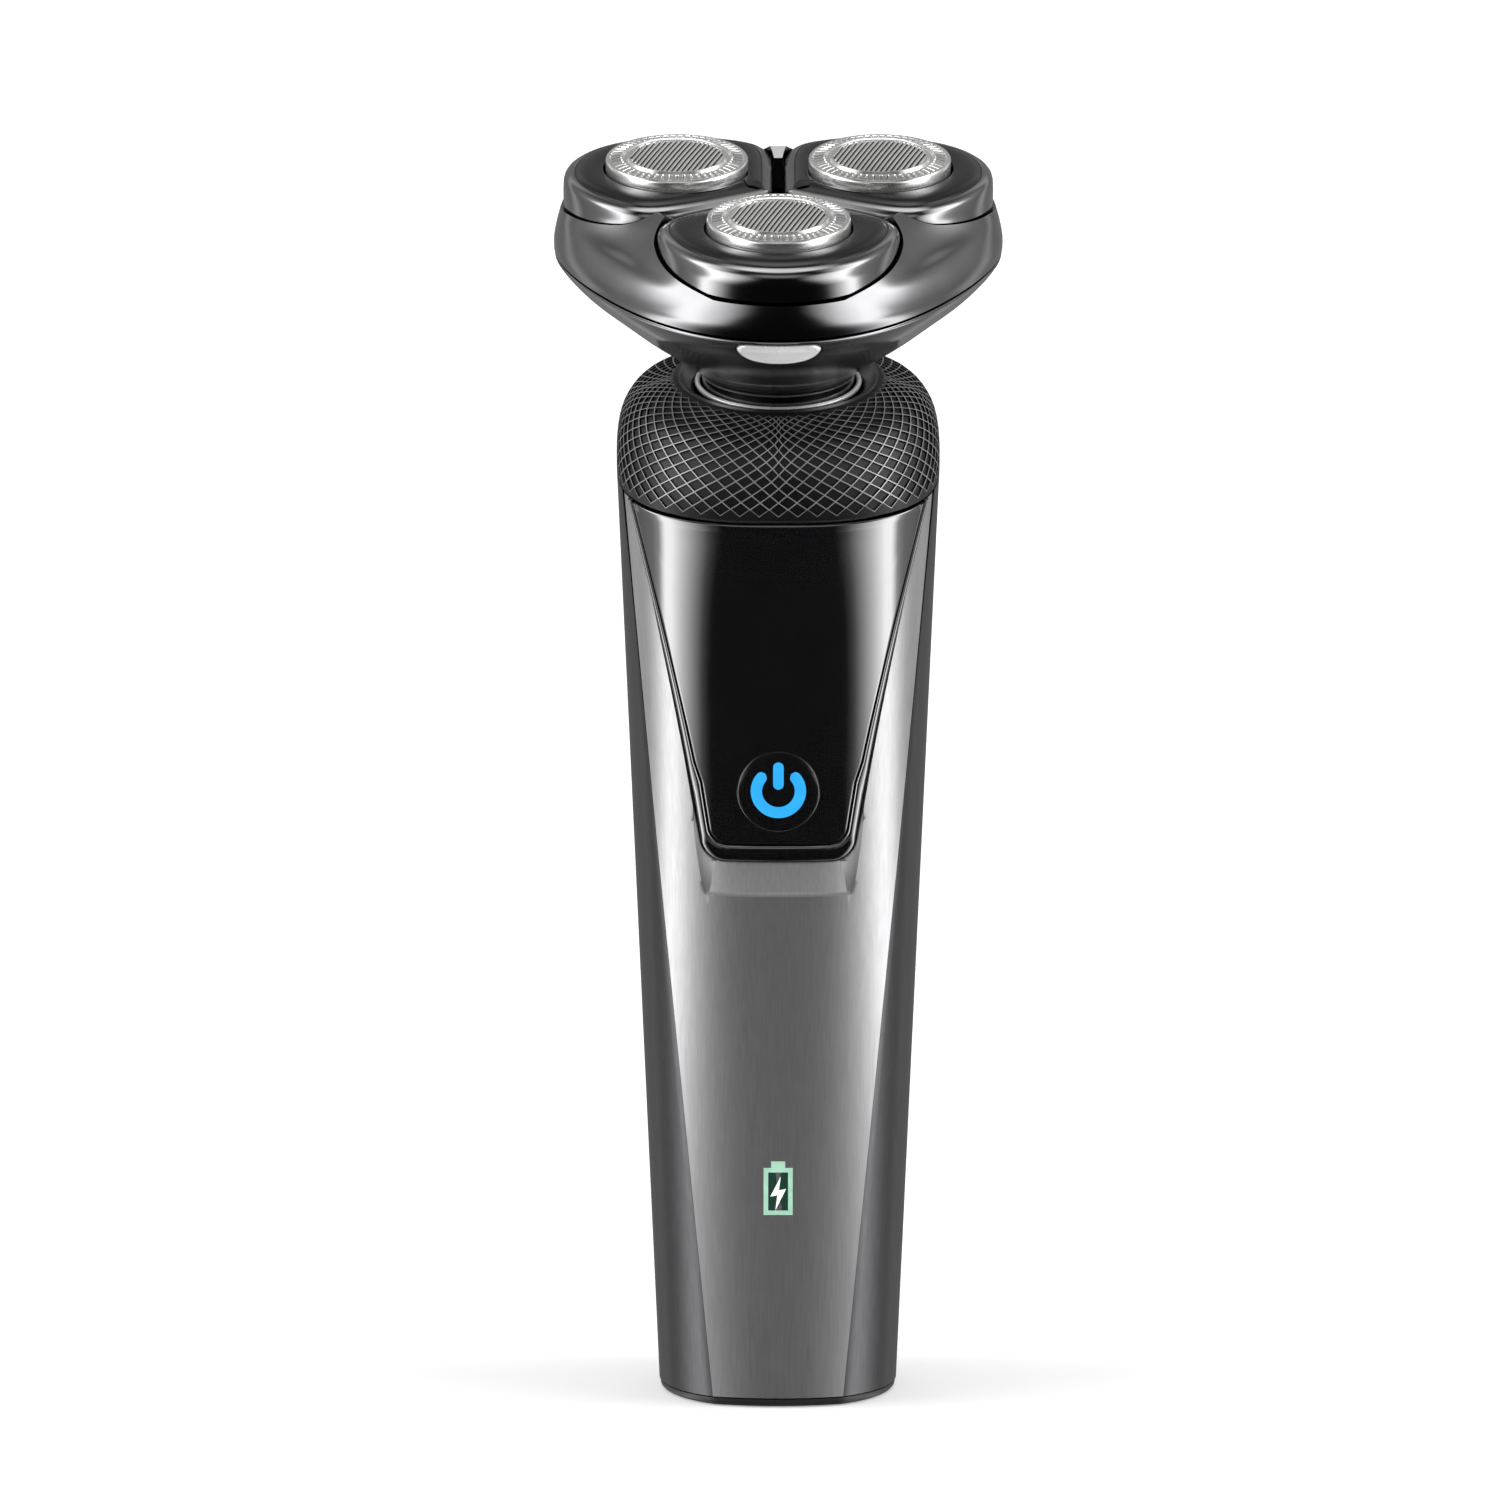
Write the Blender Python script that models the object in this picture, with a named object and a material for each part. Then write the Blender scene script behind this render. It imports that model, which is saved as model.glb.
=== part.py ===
"""Rotary electric shaver: tapered handle, gimballed head, three tilting pods and their drive train.

World frame: origin at the centre of the flat base, +Z up the handle, -Y towards the front.
Head frame: origin at the gimbal centre, leaning forwards; local Z is the head axis and local -Y its front.
All lengths below are in millimetres and are scaled to metres when a mesh is made.
"""
import math

import bmesh
import bpy
from mathutils import Matrix, Vector

MM = 0.001
GAP = 0.3

# Handle
SEAM_HEIGHT = 138.6          # height of the gimbal centre
SEAM_SHIFT = -2.7            # its offset towards the front
LEAN = math.radians(13.0)    # forward lean of the head and of the collar seam
COLLAR_SEAM = -12.5          # head-frame height of the seam between handle and collar
BASE_TOP = 1.1
SHELL = 2.2

# Head
HEAD_SEAM = 16.4             # seam between bowl and upper frame
TRIANGLE_MEAN = 29.4         # mean radius of the rounded-triangle outline
TRIANGLE_SWING = 1.9         # how far its three corners stand out
AXIS_RADIUS = 15.6           # distance from the head axis to each cutter axis
POD_TOP = 26.7
POD_HINGE = (0.0, -29.0, 23.5)
LID_HINGE = (0.0, 28.2, HEAD_SEAM)
POD_ANGLES = (0.0, 120.0, 240.0)
GUARD_SLITS = 12

# Gears
GEAR_MODULE = 0.8
SUN_TEETH = 13
DRIVEN_TEETH = 26
GEAR_LOW = 13.0
GEAR_HIGH = 15.0

FRONT_STEPS = 10
BACK_STEPS = 24
ROUND_STEPS = 24
SMALL_STEPS = 12
HEAD_STEPS = 36

MATERIALS = {
    "satin_silver": ((0.42, 0.42, 0.42), 1.0, 0.34),
    "dark_metal": ((0.10, 0.10, 0.105), 1.0, 0.36),
    "gloss_black": ((0.008, 0.008, 0.009), 0.0, 0.08),
    "black_plastic": ((0.02, 0.02, 0.021), 0.0, 0.45),
    "grip_black": ((0.03, 0.03, 0.032), 0.3, 0.40),
    "head_metal": ((0.06, 0.06, 0.063), 0.9, 0.22),
    "grey_plastic": ((0.09, 0.09, 0.095), 0.0, 0.40),
    "steel": ((0.62, 0.62, 0.61), 1.0, 0.22),
    "silver_button": ((0.70, 0.70, 0.70), 1.0, 0.25),
    "blue_light": ((0.02, 0.40, 0.85), 0.0, 0.40),
    "mint_light": ((0.42, 0.72, 0.52), 0.0, 0.40),
    "white_light": ((0.90, 0.95, 0.92), 0.0, 0.40),
    "dark_window": ((0.02, 0.06, 0.04), 0.0, 0.15),
    "circuit_green": ((0.02, 0.14, 0.06), 0.0, 0.40),
    "battery_wrap": ((0.05, 0.18, 0.42), 0.0, 0.35),
    "nickel": ((0.55, 0.53, 0.48), 1.0, 0.30),
    "white_acetal": ((0.78, 0.77, 0.73), 0.0, 0.45),
    "frame_grey": ((0.30, 0.30, 0.31), 0.0, 0.50),
    "armature_steel": ((0.10, 0.10, 0.105), 1.0, 0.45),
}


# ---------------------------------------------------------------- scene and objects

def clear_scene():
    for existing in list(bpy.data.objects):
        bpy.data.objects.remove(existing, do_unlink=True)


def new_collection(name):
    group = bpy.data.collections.new(name)
    bpy.context.scene.collection.children.link(group)
    return group


clear_scene()
PARTS = new_collection("rotary_electric_shaver")
CUTTERS = new_collection("cutters")
PIVOTS = new_collection("pivots")


def material(slot):
    """The Principled material of one slot, made the first time it is asked for."""
    if slot in bpy.data.materials:
        return bpy.data.materials[slot]
    color, metallic, roughness = MATERIALS[slot]
    made = bpy.data.materials.new(slot)
    made.use_nodes = True
    shader = made.node_tree.nodes["Principled BSDF"]
    shader.inputs["Base Color"].default_value = (*color, 1.0)
    shader.inputs["Metallic"].default_value = metallic
    shader.inputs["Roughness"].default_value = roughness
    return made


def scaled(point):
    return Vector(point) * MM


def pivot(name, place=(0.0, 0.0, 0.0), parent=None, rotation=(0.0, 0.0, 0.0)):
    """An empty that carries the pieces of one joint or frame."""
    empty = bpy.data.objects.new(name, None)
    PIVOTS.objects.link(empty)
    empty.location = scaled(place)
    empty.rotation_euler = rotation
    empty.parent = parent
    return empty


def node(name, mesh, slot, parent=None, origin=(0.0, 0.0, 0.0), smooth=35.0):
    """Put a mesh drawn about the parent's frame into the model as one named piece."""
    mesh.transform(Matrix.Translation(-scaled(origin)))
    mesh.name = name
    mesh.materials.clear()
    mesh.materials.append(material(slot))
    piece = bpy.data.objects.new(name, mesh)
    PARTS.objects.link(piece)
    piece.parent = parent
    mesh.shade_smooth()
    mesh.set_sharp_from_angle(angle=math.radians(smooth))
    return piece


def boolean(piece, mesh, operation="DIFFERENCE", origin=(0.0, 0.0, 0.0)):
    """Cut or join a mesh drawn in the same frame as the piece."""
    mesh.transform(Matrix.Translation(-scaled(origin)))
    mesh.name = f"{piece.name}_tool"
    tool = bpy.data.objects.new(mesh.name, mesh)
    CUTTERS.objects.link(tool)
    tool.parent = piece.parent
    tool.hide_render = True
    tool.display_type = "WIRE"
    step = piece.modifiers.new(operation.title(), "BOOLEAN")
    step.operation = operation
    step.solver = "EXACT"
    step.object = tool


# ---------------------------------------------------------------- meshes

def finish(shape, name="mesh"):
    """Turn a bmesh drawn in millimetres into a mesh in metres with outward faces."""
    bmesh.ops.recalc_face_normals(shape, faces=shape.faces)
    bmesh.ops.scale(shape, vec=(MM, MM, MM), verts=shape.verts)
    mesh = bpy.data.meshes.new(name)
    shape.to_mesh(mesh)
    shape.free()
    return mesh


def loft(rings, loop=False, caps=True):
    """Skin equal rings of points; loop joins the last ring to the first, caps close the two ends."""
    shape = bmesh.new()
    rows = [[shape.verts.new(point) for point in ring] for ring in rings]
    pairs = list(zip(rows, rows[1:]))
    if loop:
        pairs.append((rows[-1], rows[0]))
    count = len(rings[0])
    for lower, upper in pairs:
        for index in range(count):
            after = (index + 1) % count
            shape.faces.new((lower[index], lower[after], upper[after], upper[index]))
    if caps and not loop:
        shape.faces.new(rows[0])
        shape.faces.new(rows[-1])
    return finish(shape)


def slab(front, back):
    """Closed plate between two equal grids of points."""
    shape = bmesh.new()
    rows = len(front)
    columns = len(front[0])
    near = [[shape.verts.new(point) for point in row] for row in front]
    far = [[shape.verts.new(point) for point in row] for row in back]
    for row in range(rows - 1):
        for column in range(columns - 1):
            for grid in (near, far):
                shape.faces.new((grid[row][column], grid[row][column + 1],
                                 grid[row + 1][column + 1], grid[row + 1][column]))
    rim = [(0, column) for column in range(columns)]
    rim += [(row, columns - 1) for row in range(1, rows)]
    rim += [(rows - 1, column) for column in range(columns - 2, -1, -1)]
    rim += [(row, 0) for row in range(rows - 2, 0, -1)]
    for (row, column), (next_row, next_column) in zip(rim, rim[1:] + rim[:1]):
        shape.faces.new((near[row][column], near[next_row][next_column],
                         far[next_row][next_column], far[row][column]))
    return finish(shape)


def box(low, high):
    """Block between two opposite corners."""
    shape = bmesh.new()
    bmesh.ops.create_cube(shape, size=1.0)
    size = [b - a for a, b in zip(low, high)]
    middle = [(a + b) / 2 for a, b in zip(low, high)]
    bmesh.ops.scale(shape, vec=size, verts=shape.verts)
    bmesh.ops.translate(shape, vec=middle, verts=shape.verts)
    return finish(shape)


def cylinder(radius, start, end, steps=ROUND_STEPS):
    """Cylinder from one axis point to another."""
    shape = bmesh.new()
    axis = Vector(end) - Vector(start)
    bmesh.ops.create_cone(shape, cap_ends=True, segments=steps, radius1=radius, radius2=radius,
                          depth=axis.length)
    turn = Vector((0.0, 0.0, 1.0)).rotation_difference(axis.normalized()).to_matrix()
    bmesh.ops.rotate(shape, matrix=turn, verts=shape.verts)
    bmesh.ops.translate(shape, vec=(Vector(start) + Vector(end)) / 2, verts=shape.verts)
    return finish(shape)


def turned(profile, steps=ROUND_STEPS, center=(0.0, 0.0)):
    """Solid of revolution; the profile runs from the axis round and back, or closes on itself."""
    touches_axis = profile[0][0] == 0.0
    shape = bmesh.new()
    ends = []
    if touches_axis:
        ends = [profile[0][1], profile[-1][1]]
        profile = profile[1:-1]
    rows = []
    for radius, height in profile:
        row = []
        for index in range(steps):
            angle = 2 * math.pi * index / steps
            row.append(shape.verts.new((center[0] + radius * math.cos(angle),
                                        center[1] + radius * math.sin(angle), height)))
        rows.append(row)
    pairs = list(zip(rows, rows[1:]))
    if not touches_axis:
        pairs.append((rows[-1], rows[0]))
    for upper, lower in pairs:
        for index in range(steps):
            after = (index + 1) % steps
            shape.faces.new((upper[index], upper[after], lower[after], lower[index]))
    for height, row in zip(ends, (rows[0], rows[-1])):
        tip = shape.verts.new((center[0], center[1], height))
        for index in range(steps):
            shape.faces.new((row[index], row[(index + 1) % steps], tip))
    return finish(shape)


def prism(outline, low, high):
    """Outline in the XY plane drawn up between two heights."""
    return loft([[(x, y, low) for x, y in outline], [(x, y, high) for x, y in outline]])


def joined(meshes):
    """Several closed meshes that do not touch, as one mesh."""
    shape = bmesh.new()
    for mesh in meshes:
        shape.from_mesh(mesh)
        bpy.data.meshes.remove(mesh)
    result = bpy.data.meshes.new("joined")
    shape.to_mesh(result)
    shape.free()
    return result


# ---------------------------------------------------------------- handle surface

def blend(a, b, t):
    return a + (b - a) * t


def smoothstep(t):
    t = min(max(t, 0.0), 1.0)
    return t * t * (3 - 2 * t)


def half_width(z):
    return blend(16.0, 21.6, z / 126)


def half_depth(z):
    return blend(15.2, 21.5, z / 122)


def ridge_x(z):
    """Half distance between the two creases that bound the silver front."""
    return blend(8.7, 20.8, z / 124)


def squareness(z):
    return blend(2.1, 2.8, z / 124)


def side_y(x, z):
    """Depth of the rounded-square section at a given width, as a positive number."""
    power = squareness(z)
    inside = max(1 - (abs(x) / half_width(z)) ** power, 0.0)
    return half_depth(z) * inside ** (1 / power)


def front_y(x, z):
    """Front surface between the creases: flatter than the section at the foot, equal to it at the top."""
    crease = ridge_x(z)
    flatness = 1 - smoothstep(z / 118)
    bulge = blend(1.3, 3.2, z / 124)
    flat = -side_y(crease, z) - bulge * (1 - (x / crease) ** 2)
    return blend(-side_y(x, z), flat, flatness)


def handle_outline(z):
    """Closed section: front from left crease to right crease, then round the back."""
    crease = ridge_x(z)
    points = []
    for step in range(FRONT_STEPS):
        x = crease * (2 * step / FRONT_STEPS - 1)
        points.append((x, front_y(x, z)))
    power = squareness(z)
    start = math.acos(min((crease / half_width(z)) ** (power / 2), 1.0))
    for step in range(BACK_STEPS):
        angle = -start + (math.pi + 2 * start) * step / BACK_STEPS
        side = math.copysign(abs(math.cos(angle)) ** (2 / power), math.cos(angle))
        back = math.copysign(abs(math.sin(angle)) ** (2 / power), math.sin(angle))
        points.append((half_width(z) * side, half_depth(z) * back))
    return points


def inset(points, distance):
    """Closed outline moved inwards along the mean normal at each point."""
    count = len(points)
    moved = []
    for index, (x, y) in enumerate(points):
        before = points[index - 1]
        after = points[(index + 1) % count]
        run = (after[0] - before[0], after[1] - before[1])
        length = math.hypot(*run)
        moved.append((x - run[1] / length * distance, y + run[0] / length * distance))
    return moved


def collar_seam_z(y, drop=0.0):
    """Height of the leaning plane where handle and collar meet."""
    flat = SEAM_HEIGHT + COLLAR_SEAM / math.cos(LEAN) - drop
    return flat + math.tan(LEAN) * (y - SEAM_SHIFT)


def handle_ring(share, low, distance=0.0):
    """Section at a share of the way from the foot to the leaning top."""
    count = FRONT_STEPS + BACK_STEPS
    heights = [blend(low, 126.0, share)] * count
    for _ in range(6):
        for index in range(count):
            outline = inset(handle_outline(heights[index]), distance) if distance else None
            y = (outline or handle_outline(heights[index]))[index][1]
            heights[index] = blend(low, collar_seam_z(y, 0.15), share)
    ring = []
    for index in range(count):
        outline = handle_outline(heights[index])
        if distance:
            outline = inset(outline, distance)
        ring.append((*outline[index], heights[index]))
    return ring


def shell_arc(share, low, first, last, distance=SHELL):
    """Points of one shell's section: out along the outer face, back along the inner face."""
    outer = handle_ring(share, low)
    inner = handle_ring(share, low, distance)
    count = len(outer)
    indices = [index % count for index in range(first, last + 1)]
    arcs = []
    for ring in (outer, inner):
        arc = [Vector(ring[index]) for index in indices]
        arc[0] = arc[0] + (arc[1] - arc[0]).normalized() * GAP / 2
        arc[-1] = arc[-1] + (arc[-2] - arc[-1]).normalized() * GAP / 2
        arcs.append(arc)
    return arcs[0] + arcs[1][::-1]


def front_point(x, z, lift=0.0):
    """Point on the front surface, moved out along its normal."""
    reach = 0.05
    base = Vector((x, front_y(x, z), z))
    across = Vector((2 * reach, front_y(x + reach, z) - front_y(x - reach, z), 0.0))
    along = Vector((0.0, front_y(x, z + reach) - front_y(x, z - reach), 2 * reach))
    return base + across.cross(along).normalized() * lift


def front_plate(half, low, top_drop, outer, inner, columns=10, rows=10, top=None):
    """Plate that follows the front surface between two lifts.

    half gives the half width at a height; outer and inner give the two lifts at a height.
    The plate ends at the leaning seam, top_drop below it, or at a level top where one is given.
    """
    front = []
    back = []
    for row in range(rows + 1):
        share = (row / rows) ** 1.6
        front_row = []
        back_row = []
        for column in range(columns + 1):
            across = 2 * column / columns - 1
            z = low
            for _ in range(6):
                ceiling = top if top is not None else collar_seam_z(front_y(across * half(z), z), top_drop)
                z = blend(low, ceiling, share)
            front_row.append(front_point(across * half(z), z, outer(z)))
            back_row.append(front_point(across * half(z), z, inner(z)))
        front.append(front_row)
        back.append(back_row)
    return slab(front, back)


def panel_half(z, low, foot, shrink=0.0, corner=2.6):
    """Half width of the panel: narrow rounded foot, flaring towards the collar."""
    side = blend(foot, 11.9, min((z - low) / 11.0, 1.0))
    flare = max(z - 86.0, 0.0) / 38.0
    side += 8.2 * (0.75 * flare + 0.25 * flare ** 1.5)
    rise = z - low
    if rise < corner:
        side += math.sqrt(max(corner ** 2 - (corner - rise) ** 2, 0.0)) - corner
    return side - shrink


def border_half(z):
    return panel_half(z, 75.0, 10.0)


def window_half(z):
    narrowing = blend(1.5, 0.5, (z - 77.7) / 46.0)
    return panel_half(z, 77.7, 10.4, narrowing, 2.0)


# ---------------------------------------------------------------- head surface

def around(count):
    return [2 * math.pi * index / count for index in range(count)]


def corner_wave(angle):
    """1 towards each pod, -1 between two pods; angle 0 is the front."""
    return math.cos(3 * angle)


def head_xy(angle, radius):
    return radius * math.sin(angle), -radius * math.cos(angle)


# Height, mean radius and swing of the bowl's outer face, from the seam down to the neck
BOWL_TABLE = ((16.25, 29.3, 1.9), (14.6, 28.3, 1.8), (12.6, 26.3, 1.6), (10.2, 23.1, 1.2),
              (7.2, 18.8, 0.5), (4.2, 14.1, 0.0), (2.9, 12.4, 0.0), (1.9, 11.3, 0.0), (1.3, 10.6, 0.0))
BOWL_WALL = 1.2


def bowl_radius(angle, height):
    """Outer radius of the bowl: rounded triangle at the seam, round at the neck."""
    for (high, wide, swing), (low, narrow, calm) in zip(BOWL_TABLE, BOWL_TABLE[1:]):
        if height >= low:
            share = (high - height) / (high - low)
            return blend(wide, narrow, share) + blend(swing, calm, share) * corner_wave(angle)
    return BOWL_TABLE[-1][1]


def head_ring(height, radius, count=HEAD_STEPS):
    """Ring about the head axis; radius is a function of the angle."""
    return [(*head_xy(angle, radius(angle)), height) for angle in around(count)]


NECK_BALL = 10.2
NECK_BORE = 8.2


def neck_ball_radius(height):
    return math.sqrt(NECK_BALL ** 2 - height ** 2)


def bowl_mesh():
    """Bowl and ball-shaped neck in one wall, open at the top and through the neck."""
    rings = []
    for height, _, _ in BOWL_TABLE:
        rings.append(head_ring(height, lambda angle, h=height: bowl_radius(angle, h)))
    for height in (0.6, -1.4, -3.4):
        rings.append(head_ring(height, lambda angle, h=height: neck_ball_radius(h)))
    for height in (-3.4, 3.4):
        rings.append(head_ring(height, lambda angle: NECK_BORE))
    for height in (5.2, 9.0, 12.4, 14.6, 16.25):
        rings.append(head_ring(height, lambda angle, h=height: bowl_radius(angle, h) - BOWL_WALL))
    return loft(rings, loop=True)


def ellipse_reach(angle):
    """Distance from a pod's axis to its outline, towards an angle; 0 points outwards."""
    offset = 12.5 - AXIS_RADIUS
    long_half = 18.5
    wide_half = 16.2
    cosine = math.cos(angle) / long_half
    sine = math.sin(angle) / wide_half
    a = cosine ** 2 + sine ** 2
    b = -2 * cosine * offset / long_half
    c = (offset / long_half) ** 2 - 1
    return (-b + math.sqrt(b * b - 4 * a * c)) / (2 * a)


def sector_reach(angle, margin):
    """Distance from a pod's axis to the nearer of the two planes that part it from its neighbours."""
    reach = 1e3
    for side in (1, -1):
        facing = math.radians(side * 150)
        toward = math.cos(angle - facing)
        if toward > 1e-6:
            reach = min(reach, (AXIS_RADIUS * math.sin(math.radians(60)) - margin) / toward)
    return reach


def pod_outline(shrink=0.0, count=HEAD_STEPS):
    """Outline of the front pod in the head frame, as (x, y) points about its own axis."""
    points = []
    for angle in around(count):
        limits = (ellipse_reach(angle), sector_reach(angle, 0.5))
        softness = 9.0
        reach = sum(limit ** -softness for limit in limits) ** (-1 / softness) * 1.004
        reach = min(reach, *limits)
        points.append((reach * math.sin(angle), -AXIS_RADIUS - reach * math.cos(angle)))
    return inset(points, shrink) if shrink else points


def frame_point(angle, level):
    """Outer surface of the upper frame: blend of the profile at a pod and the one between two pods."""
    at_pod = ((31.3, 16.55), (31.3, 18.2), (31.1, 20.3), (30.6, 22.6), (29.6, 25.0), (24.0, 27.2))
    between = ((27.5, 16.55), (27.35, 18.4), (25.6, 20.7), (23.2, 22.0), (20.4, 24.3), (18.0, 26.0))
    share = (1 + corner_wave(angle)) / 2
    radius = blend(between[level][0], at_pod[level][0], share)
    height = blend(between[level][1], at_pod[level][1], share)
    return (*head_xy(angle, radius), height)


def frame_mesh():
    """Upper frame before its pod openings are cut: a wall with a wide opening through its middle."""
    rings = [[frame_point(angle, level) for angle in around(HEAD_STEPS)] for level in range(6)]
    rings.append(head_ring(25.0, lambda angle: 19.0 + 3.0 * corner_wave(angle)))
    rings.append(head_ring(20.2, lambda angle: 22.2 + 4.8 * corner_wave(angle)))
    inner = TRIANGLE_MEAN - 1.7
    rings.append(head_ring(18.6, lambda angle: inner - 1.2 + (TRIANGLE_SWING + 1.0) * corner_wave(angle)))
    rings.append(head_ring(16.55, lambda angle: inner + TRIANGLE_SWING * corner_wave(angle)))
    return loft(rings, loop=True)


# ---------------------------------------------------------------- gears

def gear_outline(teeth, center, phase):
    """Spur gear outline; phase is the direction of one tooth, measured from +X."""
    pitch = GEAR_MODULE * teeth / 2
    tip = pitch + 0.8 * GEAR_MODULE
    root = pitch - 1.15 * GEAR_MODULE
    tooth = 2 * math.pi / teeth
    shape = ((root, -0.30), (tip, -0.11), (tip, 0.11), (root, 0.30))
    points = []
    for index in range(teeth):
        for radius, offset in shape:
            angle = phase + (index + offset) * tooth
            points.append((center[0] + radius * math.cos(angle), center[1] + radius * math.sin(angle)))
    return points


def driven_phase(direction):
    """Tooth direction of a driven gear so that it meshes with the centre gear, whose tooth 0 is at +X."""
    sun_tooth = 2 * math.pi / SUN_TEETH
    nearest = round(direction / sun_tooth) * sun_tooth
    gap = direction + math.pi - (SUN_TEETH / DRIVEN_TEETH) * (nearest - direction)
    return gap + math.pi / DRIVEN_TEETH


# ---------------------------------------------------------------- handle pieces

def build_shells():
    low = BASE_TOP + GAP
    shares = [0.0, 0.2, 0.4, 0.6, 0.8, 1.0]
    front = loft([shell_arc(share, low, 0, FRONT_STEPS) for share in shares])
    count = FRONT_STEPS + BACK_STEPS
    rear = loft([shell_arc(share, low, FRONT_STEPS, count) for share in shares])
    front_shell = node("front_shell", front, "satin_silver", smooth=30.0)
    node("rear_shell", rear, "dark_metal", smooth=30.0)

    window = front_plate(lambda z: border_half(z) + 0.4, 74.7, -3.0, lambda z: 2.0, lambda z: -5.0)
    boolean(front_shell, window)
    scoop = front_plate(lambda z: blend(9.2, 9.9, (z - 70.5) / 5.5), 70.5, 0.0, lambda z: 1.0,
                        lambda z: -blend(0.05, 1.6, (z - 70.5) / 4.0), columns=8, rows=6, top=74.8)
    boolean(front_shell, scoop)
    boolean(front_shell, box((-2.05, -22.0, 26.2), (2.05, -8.0, 34.6)))


def build_base():
    """Foot of the handle: level plate with a filleted edge and a lip that enters the shells."""
    rings = []
    for height, shrink in ((0.0, 0.9), (0.25, 0.35), (0.7, 0.1), (BASE_TOP, 0.05)):
        rings.append([(x, y, height) for x, y in inset(handle_outline(0.0), shrink)])
    for height in (BASE_TOP, 3.0):
        rings.append([(x, y, height) for x, y in inset(handle_outline(BASE_TOP), SHELL + 0.35)])
    base = node("base_cap", loft(rings), "black_plastic")
    boolean(base, box((-9.0, -7.0, 1.9), (9.0, -3.6, 4.0)))
    boolean(base, socket_slot(4.85, 1.95, -1.0, 6.0))
    for side in (-1, 1):
        boolean(base, screw_mesh(side, 0.2))


SOCKET_Y = 7.0


def socket_slot(half, thick, low, high):
    """Rounded slot of the charging socket."""
    outline = []
    for step in range(24):
        angle = 2 * math.pi * step / 24
        x = thick * math.cos(angle)
        y = thick * math.sin(angle)
        outline.append((x + math.copysign(half - thick, math.cos(angle)), y + SOCKET_Y))
    return prism(outline, low, high)


def build_socket():
    socket = node("charging_socket", socket_slot(4.65, 1.75, 0.25, 8.0), "steel")
    boolean(socket, socket_slot(4.25, 1.35, -1.0, 6.8))
    tongue = box((-3.3, SOCKET_Y - 0.35, 0.9), (3.3, SOCKET_Y + 0.35, 7.2))
    boolean(socket, tongue, "UNION")


def screw_mesh(side, clearance):
    x = side * 10.6
    head = 1.6 + clearance
    shank = 0.8 + clearance
    low = 0.3 if clearance == 0.0 else -0.5
    profile = [(0.0, low), (head, low), (head, 1.2), (shank, 1.6 + clearance / 2), (shank, 6.0), (0.0, 6.0)]
    return turned(profile, steps=SMALL_STEPS, center=(x, 0.0))


def build_base_screws():
    for index, side in enumerate((-1, 1), start=1):
        screw = node(f"base_screw_{index}", screw_mesh(side, 0.0), "nickel")
        for angle in (0.0, math.pi / 2):
            slot = box((-1.0, -0.2, 0.0), (1.0, 0.2, 0.7))
            place = Matrix.Translation(scaled((side * 10.6, 0.0, 0.0)))
            slot.transform(place @ Matrix.Rotation(angle, 4, "Z"))
            boolean(screw, slot)


BUTTON_Z = 85.0
BUTTON_RADIUS = 5.4


def dished_disc(radius, outer, inner, center_z, steps=24, waves=(1.0, 0.5)):
    """Round pad on the front surface, between two lifts."""
    shape = bmesh.new()
    layers = []
    for lift in (outer, inner):
        rows = []
        for share in waves:
            row = []
            for step in range(steps):
                angle = 2 * math.pi * step / steps
                x = radius * share * math.cos(angle)
                z = center_z + radius * share * math.sin(angle)
                row.append(shape.verts.new(front_point(x, z, lift)))
            rows.append(row)
        tip = shape.verts.new(front_point(0.0, center_z, lift))
        for wide, narrow in zip(rows, rows[1:]):
            for step in range(steps):
                after = (step + 1) % steps
                shape.faces.new((wide[step], wide[after], narrow[after], narrow[step]))
        for step in range(steps):
            shape.faces.new((rows[-1][step], rows[-1][(step + 1) % steps], tip))
        layers.append(rows[0])
    for step in range(steps):
        after = (step + 1) % steps
        shape.faces.new((layers[0][step], layers[0][after], layers[1][after], layers[1][step]))
    return finish(shape)


def front_band(points, width, outer, inner):
    """Closed or open line of (x, z) points on the front surface, given a width and a thickness."""
    closed = points[0] == points[-1]
    if closed:
        points = points[:-1]
    count = len(points)
    rings = []
    for index, (x, z) in enumerate(points):
        before = points[index - 1] if closed or index > 0 else points[index]
        after = points[(index + 1) % count] if closed or index < count - 1 else points[index]
        run = (after[0] - before[0], after[1] - before[1])
        length = math.hypot(*run)
        side = (-run[1] / length * width / 2, run[0] / length * width / 2)
        left = (x + side[0], z + side[1])
        right = (x - side[0], z - side[1])
        rings.append([front_point(*left, outer), front_point(*right, outer),
                      front_point(*right, inner), front_point(*left, inner)])
    return loft(rings, loop=closed)


def power_symbol(outer, inner, extra=0.0):
    """Ring open at the top, and a bar through the opening."""
    radius = 2.92
    stroke = 1.5 + extra
    opening = math.radians(38.0 - extra * 10)
    arc = []
    for step in range(15):
        angle = math.pi / 2 + opening + (2 * math.pi - 2 * opening) * step / 14
        arc.append((radius * math.cos(angle), BUTTON_Z + radius * math.sin(angle)))
    bar = [(0.0, BUTTON_Z + 0.1 - extra / 2 + step * (3.9 + extra) / 2) for step in range(3)]
    return front_band(arc, stroke, outer, inner), front_band(bar, stroke, outer, inner)


def build_panel():
    bezel = node("panel_bezel", front_plate(border_half, 75.0, 0.15, lambda z: 0.3, lambda z: -2.0),
                 "gloss_black")
    recess = front_plate(lambda z: window_half(z) + 0.15, 77.55, -2.0, lambda z: 2.0, lambda z: -1.1)
    boolean(bezel, recess)
    lens = node("panel_window", front_plate(window_half, 77.7, 0.3, lambda z: 0.1, lambda z: -0.75),
                "gloss_black")
    hole = BUTTON_RADIUS + 0.2
    boolean(lens, dished_disc(hole, 2.0, -3.0, BUTTON_Z))
    boolean(bezel, dished_disc(hole, 2.0, -4.0, BUTTON_Z))


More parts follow.
